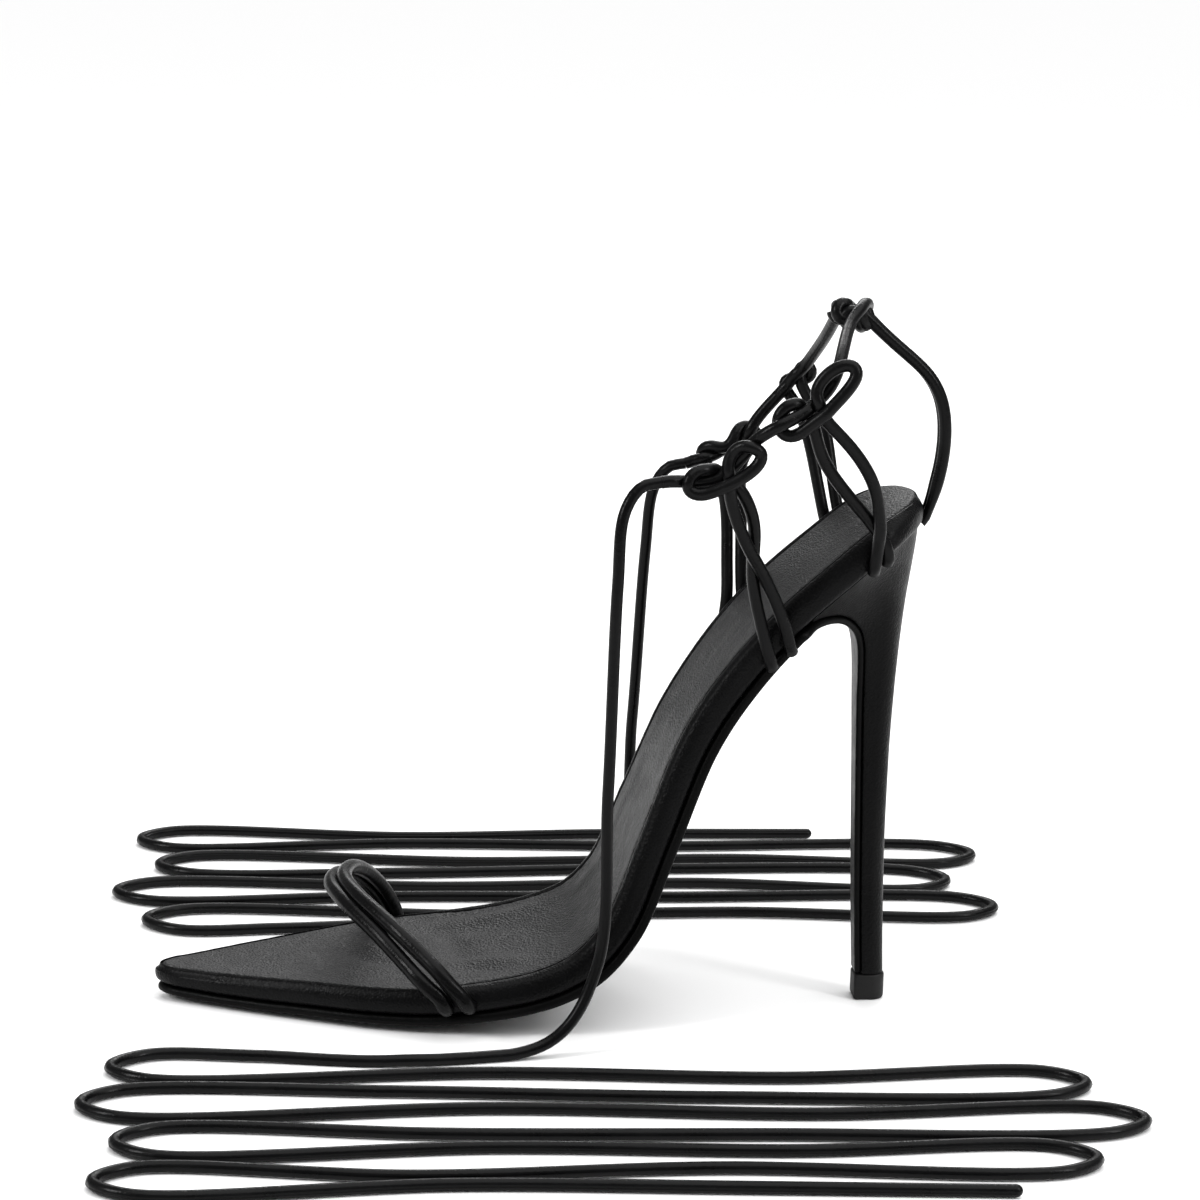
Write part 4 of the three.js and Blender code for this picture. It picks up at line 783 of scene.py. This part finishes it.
rings = [(on_rim(4.9, 2.2), lambda s, x: sock_top(s, x) - 0.02),
         (on_rim(4.9, 1.1), lambda s, x: sock_top(s, x) + 0.02 + sock_edge(s, x) * 0.3),
         (on_rim(4.9, 0.6), lambda s, x: sock_top(s, x) + 0.12 + sock_edge(s, x)),
         (on_rim(4.9, 0.3), lambda s, x: sock_top(s, x) + 0.4),
         (on_rim(4.9, 0.25), sock_floor)]
v, f = plate(SIDE, dense, foot_lat, foot_med, rings, (list(np.linspace(0.94, -0.94, 31)), sock_top), ([0], sock_floor))
ob = mesh_object("sock_lining", v, f, MAT_SOCK, sharp_deg=60)
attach(ob, "root")
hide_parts("insole_sock")

# ------------------------------------------------------------------ outsole with its flap
keep = SIDE.y <= 53.0
sy, sz, sny, snz = SIDE.y[keep], SIDE.z[keep], SIDE.ny[keep], SIDE.nz[keep]
d = edge_thick(sy) + belly(sy) + GAP
py, pz = sy - sny * d, sz - snz * d
own = SIDE.s[keep]
curve = catmull([(0, py[-1], pz[-1])] + [(0, y, z) for y, z in FLAP], 1.0)
tangent = np.gradient(curve, axis=0)
tangent /= np.linalg.norm(tangent, axis=1)[:, None]
u = np.linspace(0, 1, len(curve))
blend = smooth(0, 0.035, u)
ny = sny[-1] * (1 - blend) - tangent[:, 2] * blend
nz = snz[-1] * (1 - blend) + tangent[:, 1] * blend
SOLE = Frames(
    np.concatenate([py, curve[1:, 1]]),
    np.concatenate([pz, curve[1:, 2]]),
    np.concatenate([sny, ny[1:]]),
    np.concatenate([snz, nz[1:]]),
    np.concatenate([own, np.full(len(curve) - 1, own[-1])]),
    np.concatenate([np.zeros(len(py)), blend[1:]]),
)
LEAVE = SOLE.s[len(py) - 1]
under = SIDE.y > 40
UY = SIDE.y[under] - SIDE.ny[under] * edge_thick(SIDE.y[under])
UZ = SIDE.z[under] - SIDE.nz[under] * edge_thick(SIDE.y[under])
UL, UM = plan_lat(SIDE.y[under]), plan_med(SIDE.y[under])
heel_back, heel_stem, heel_round = (through(HEEL, k) for k in (1, 2, 3))


def under_z(y):
    y = np.asarray(y, float)
    slope = (UZ[-1] - UZ[-2]) / (UY[-1] - UY[-2])
    return np.where(y > UY[-1], UZ[-1] + slope * (y - UY[-1]), np.interp(y, UY, UZ))


def heel_half(y, drop, side):
    flare = np.exp(-np.maximum(drop, 0) / FLARE)
    wide = np.interp(y, UY, UL if side > 0 else UM) - HEEL_INSET
    return heel_stem(drop) * (1 - flare) + wide * flare


def sole_half(side):
    plan = plan_lat if side > 0 else plan_med
    foot = foot_lat if side > 0 else foot_med

    def f(s):
        o = SOLE.at(s, "own")
        y = SIDE.at(o, "y")
        plain = np.where(s < TOE_ROUND, foot(o), plan(y))
        fy = SOLE.at(s, "y")
        drop = under_z(fy) - SOLE.at(s, "z")
        t = smooth(LEAVE, LEAVE + 7, s)
        plain = plain * (1 - t) + (heel_half(fy, drop, side) + 0.5) * t
        return plain * np.where(s < TOE_ROUND, 1, rounding(SOLE.length - s, 1.2))

    return f


def sole_belly(s, x):
    y = SIDE.at(SOLE.at(s, "own"), "y")
    share = np.clip(np.abs(x) / np.where(x > 0, plan_lat(y), plan_med(y)), 0, 1)
    return -(1 - SOLE.at(s, "flap")) * belly(y) * share**2


def sole_t(s):
    t = smooth(LEAVE, LEAVE + 30, s)
    return sole_thick(SIDE.at(SOLE.at(s, "own"), "y")) * (1 - t) + FLAP_THICK * t


def sole_depth(share, plus):
    return lambda s, x: sole_belly(s, x) + sole_t(s) * share + plus


sole_s = np.concatenate([
    stations_along(LEAVE, TOE_ROUND, 0, 170, 14, 0)[:-1],
    LEAVE + np.concatenate([np.linspace(0, 34, 60), np.linspace(35.5, SOLE.length - LEAVE - 1.3, 46)]),
    SOLE.length - np.array([1.2, 0.8, 0.45, 0.2, 0.05, 0.0]),
])
rings = [(2.4, sole_depth(0, 0)), (1.7, sole_depth(0, 0.1)), (1.25, sole_depth(0, 0.35)), (0.95, sole_depth(0.3, 0)),
         (0.8, sole_depth(0.5, 0)), (0.78, sole_depth(0.7, 0)), (0.92, sole_depth(1, -0.3)), (1.2, sole_depth(1, -0.09)),
         (1.7, sole_depth(1, 0))]
v, f = plate(SOLE, sole_s, sole_half(1), sole_half(-1), rings, ([0.5, 0, -0.5], sole_depth(0, 0)),
             (list(np.linspace(0.85, -0.85, 15)), sole_depth(1, 0)))
v[:, 2] = np.maximum(v[:, 2], 0.0)
ob = mesh_object("outsole_leather", v, f, MAT_SOLE, sharp_deg=60)
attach(ob, "root")
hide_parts("outsole")

# ------------------------------------------------------------------ heel
flap_y, flap_z = curve[:, 1], curve[:, 2]


def front_of(drop, level):
    ys = np.linspace(BREAST_Y, 84, 700)
    zl = under_z(ys) * (1 - level) + 124.0 * level - drop
    zf = np.interp(ys, flap_y, flap_z) + GAP * 1.2
    inside = zl > zf
    return float(ys[np.argmax(inside)]) if inside.any() else 84.0


rings = []
drops = np.concatenate([[0.3], np.linspace(0.8, 34, 44), np.linspace(36, 116.9, 36)])
for drop in drops:
    level = float(smooth(8, 45, drop))
    yb = float(heel_back(drop))
    front = front_of(drop, level) - 0.1
    length = float(heel_round(drop))
    a = np.linspace(0, np.pi / 2, 16)
    reach = np.concatenate([length * (1 - np.cos(a)), np.linspace(length, max(yb - front - 1, length + 0.2), 14)[1:], max(yb - front - 1, length + 0.2) + np.array([0.35, 0.65, 0.85, 0.96, 1.0])])
    reach = np.minimum(reach, yb - front)
    ys = yb - reach
    r = rounding(reach, length)
    zs = under_z(ys) * (1 - level) + 124.0 * level - drop
    corner = 0.45 * (1 - rounding(ys - front, 0.7))
    lat = np.stack([heel_half(ys, drop, 1) * r - corner, ys, zs], axis=1)
    med = np.stack([-heel_half(ys, drop, -1) * r + corner, ys, zs], axis=1)
    rings.append(np.vstack([lat, med[:0:-1]]))
n = len(rings[0])
v = np.vstack(rings)
f = []
for k in range(len(rings) - 1):
    for i in range(n):
        j = (i + 1) % n
        f.append((k * n + i, k * n + j, (k + 1) * n + j, (k + 1) * n + i))
f.append(tuple(range(n))[::-1])
f.append(tuple(range((len(rings) - 1) * n, len(rings) * n)))
ob = mesh_object("heel_covered", v, outward(v, f), MAT_HEEL, sharp_deg=50)
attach(ob, "root")
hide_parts("heel")

# ------------------------------------------------------------------ top piece
rings = []
for z, inset in ((0, 0.6), (0.12, 0.3), (0.5, 0.05), (1.0, 0), (6.2, 0), (6.6, 0.1), (TOP_PIECE_HIGH, 0.4)):
    half, front, rear = 4.0 - inset, 79.7 + inset, 88.0 - inset
    a = np.linspace(0, np.pi / 2, 14)
    one = [(half * math.sin(q), rear - 3.6 * (1 - math.cos(q)), z) for q in a]
    one += [(half - 0.8 * (1 - math.cos(q)), front + 0.8 * (1 - math.sin(q)), z) for q in np.linspace(0, np.pi / 2, 6)]
    ring = one + [(-q[0], q[1], q[2]) for q in one[:0:-1]]
    rings.append(ring)
n = len(rings[0])
v = np.array([q for ring in rings for q in ring])
f = [(k * n + i, k * n + (i + 1) % n, (k + 1) * n + (i + 1) % n, (k + 1) * n + i) for k in range(len(rings) - 1) for i in range(n)]
f.append(tuple(range(n))[::-1])
f.append(tuple(range((len(rings) - 1) * n, len(rings) * n)))
ob = mesh_object("heel_tip", v, outward(v, f), MAT_TIP, sharp_deg=50)
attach(ob, "root")
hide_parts("top_piece")

# ------------------------------------------------------------------ floor and light
floor_mat = new_material("floor_paper", (0.92, 0.92, 0.92), 0.8, specular=0.2)
me = bpy.data.meshes.new("floor")
me.from_pydata([(-12, -8, 0), (6, -8, 0), (6, 8, 0), (-12, 8, 0)], [], [(0, 1, 2, 3)])
me.materials.append(floor_mat)
floor = bpy.data.objects.new("floor", me)
bpy.context.scene.collection.objects.link(floor)

world = bpy.data.worlds.new("studio")
world.use_nodes = True
world.node_tree.nodes["Background"].inputs["Color"].default_value = (1, 1, 1, 1)
world.node_tree.nodes["Background"].inputs["Strength"].default_value = 0.3
bpy.context.scene.world = world


def area(name, place, aim, size, power):
    data = bpy.data.lights.new(name, "AREA")
    data.shape = "RECTANGLE"
    data.size, data.size_y = size
    data.energy = power
    ob = bpy.data.objects.new(name, data)
    p, t = np.array(place, float), np.array(aim, float)
    z = p - t
    z /= np.linalg.norm(z)
    x = np.cross((0, 0, 1), z)
    x /= np.linalg.norm(x)
    y = np.cross(z, x)
    ob.matrix_world = Matrix(((x[0], y[0], z[0], p[0]), (x[1], y[1], z[1], p[1]), (x[2], y[2], z[2], p[2]), (0, 0, 0, 1)))
    bpy.context.scene.collection.objects.link(ob)


sun_data = bpy.data.lights.new("ceiling", "SUN")
sun_data.energy = 2.6
sun_data.angle = math.radians(75)
sun = bpy.data.objects.new("ceiling", sun_data)
sun.rotation_euler = (math.radians(-14), math.radians(6), 0)
bpy.context.scene.collection.objects.link(sun)
area("left", (0.5, -1.2, 0.9), (0, 0, 0.08), (0.3, 0.7), 12)
area("right", (0.8, 1.1, 0.8), (0, 0, 0.08), (0.25, 0.7), 7)
area("behind", (-1.2, 0.2, 0.9), (0, 0, 0.1), (1.0, 0.3), 9)
bpy.context.scene.view_settings.view_transform = "Standard"
bpy.context.scene.view_settings.look = "None"
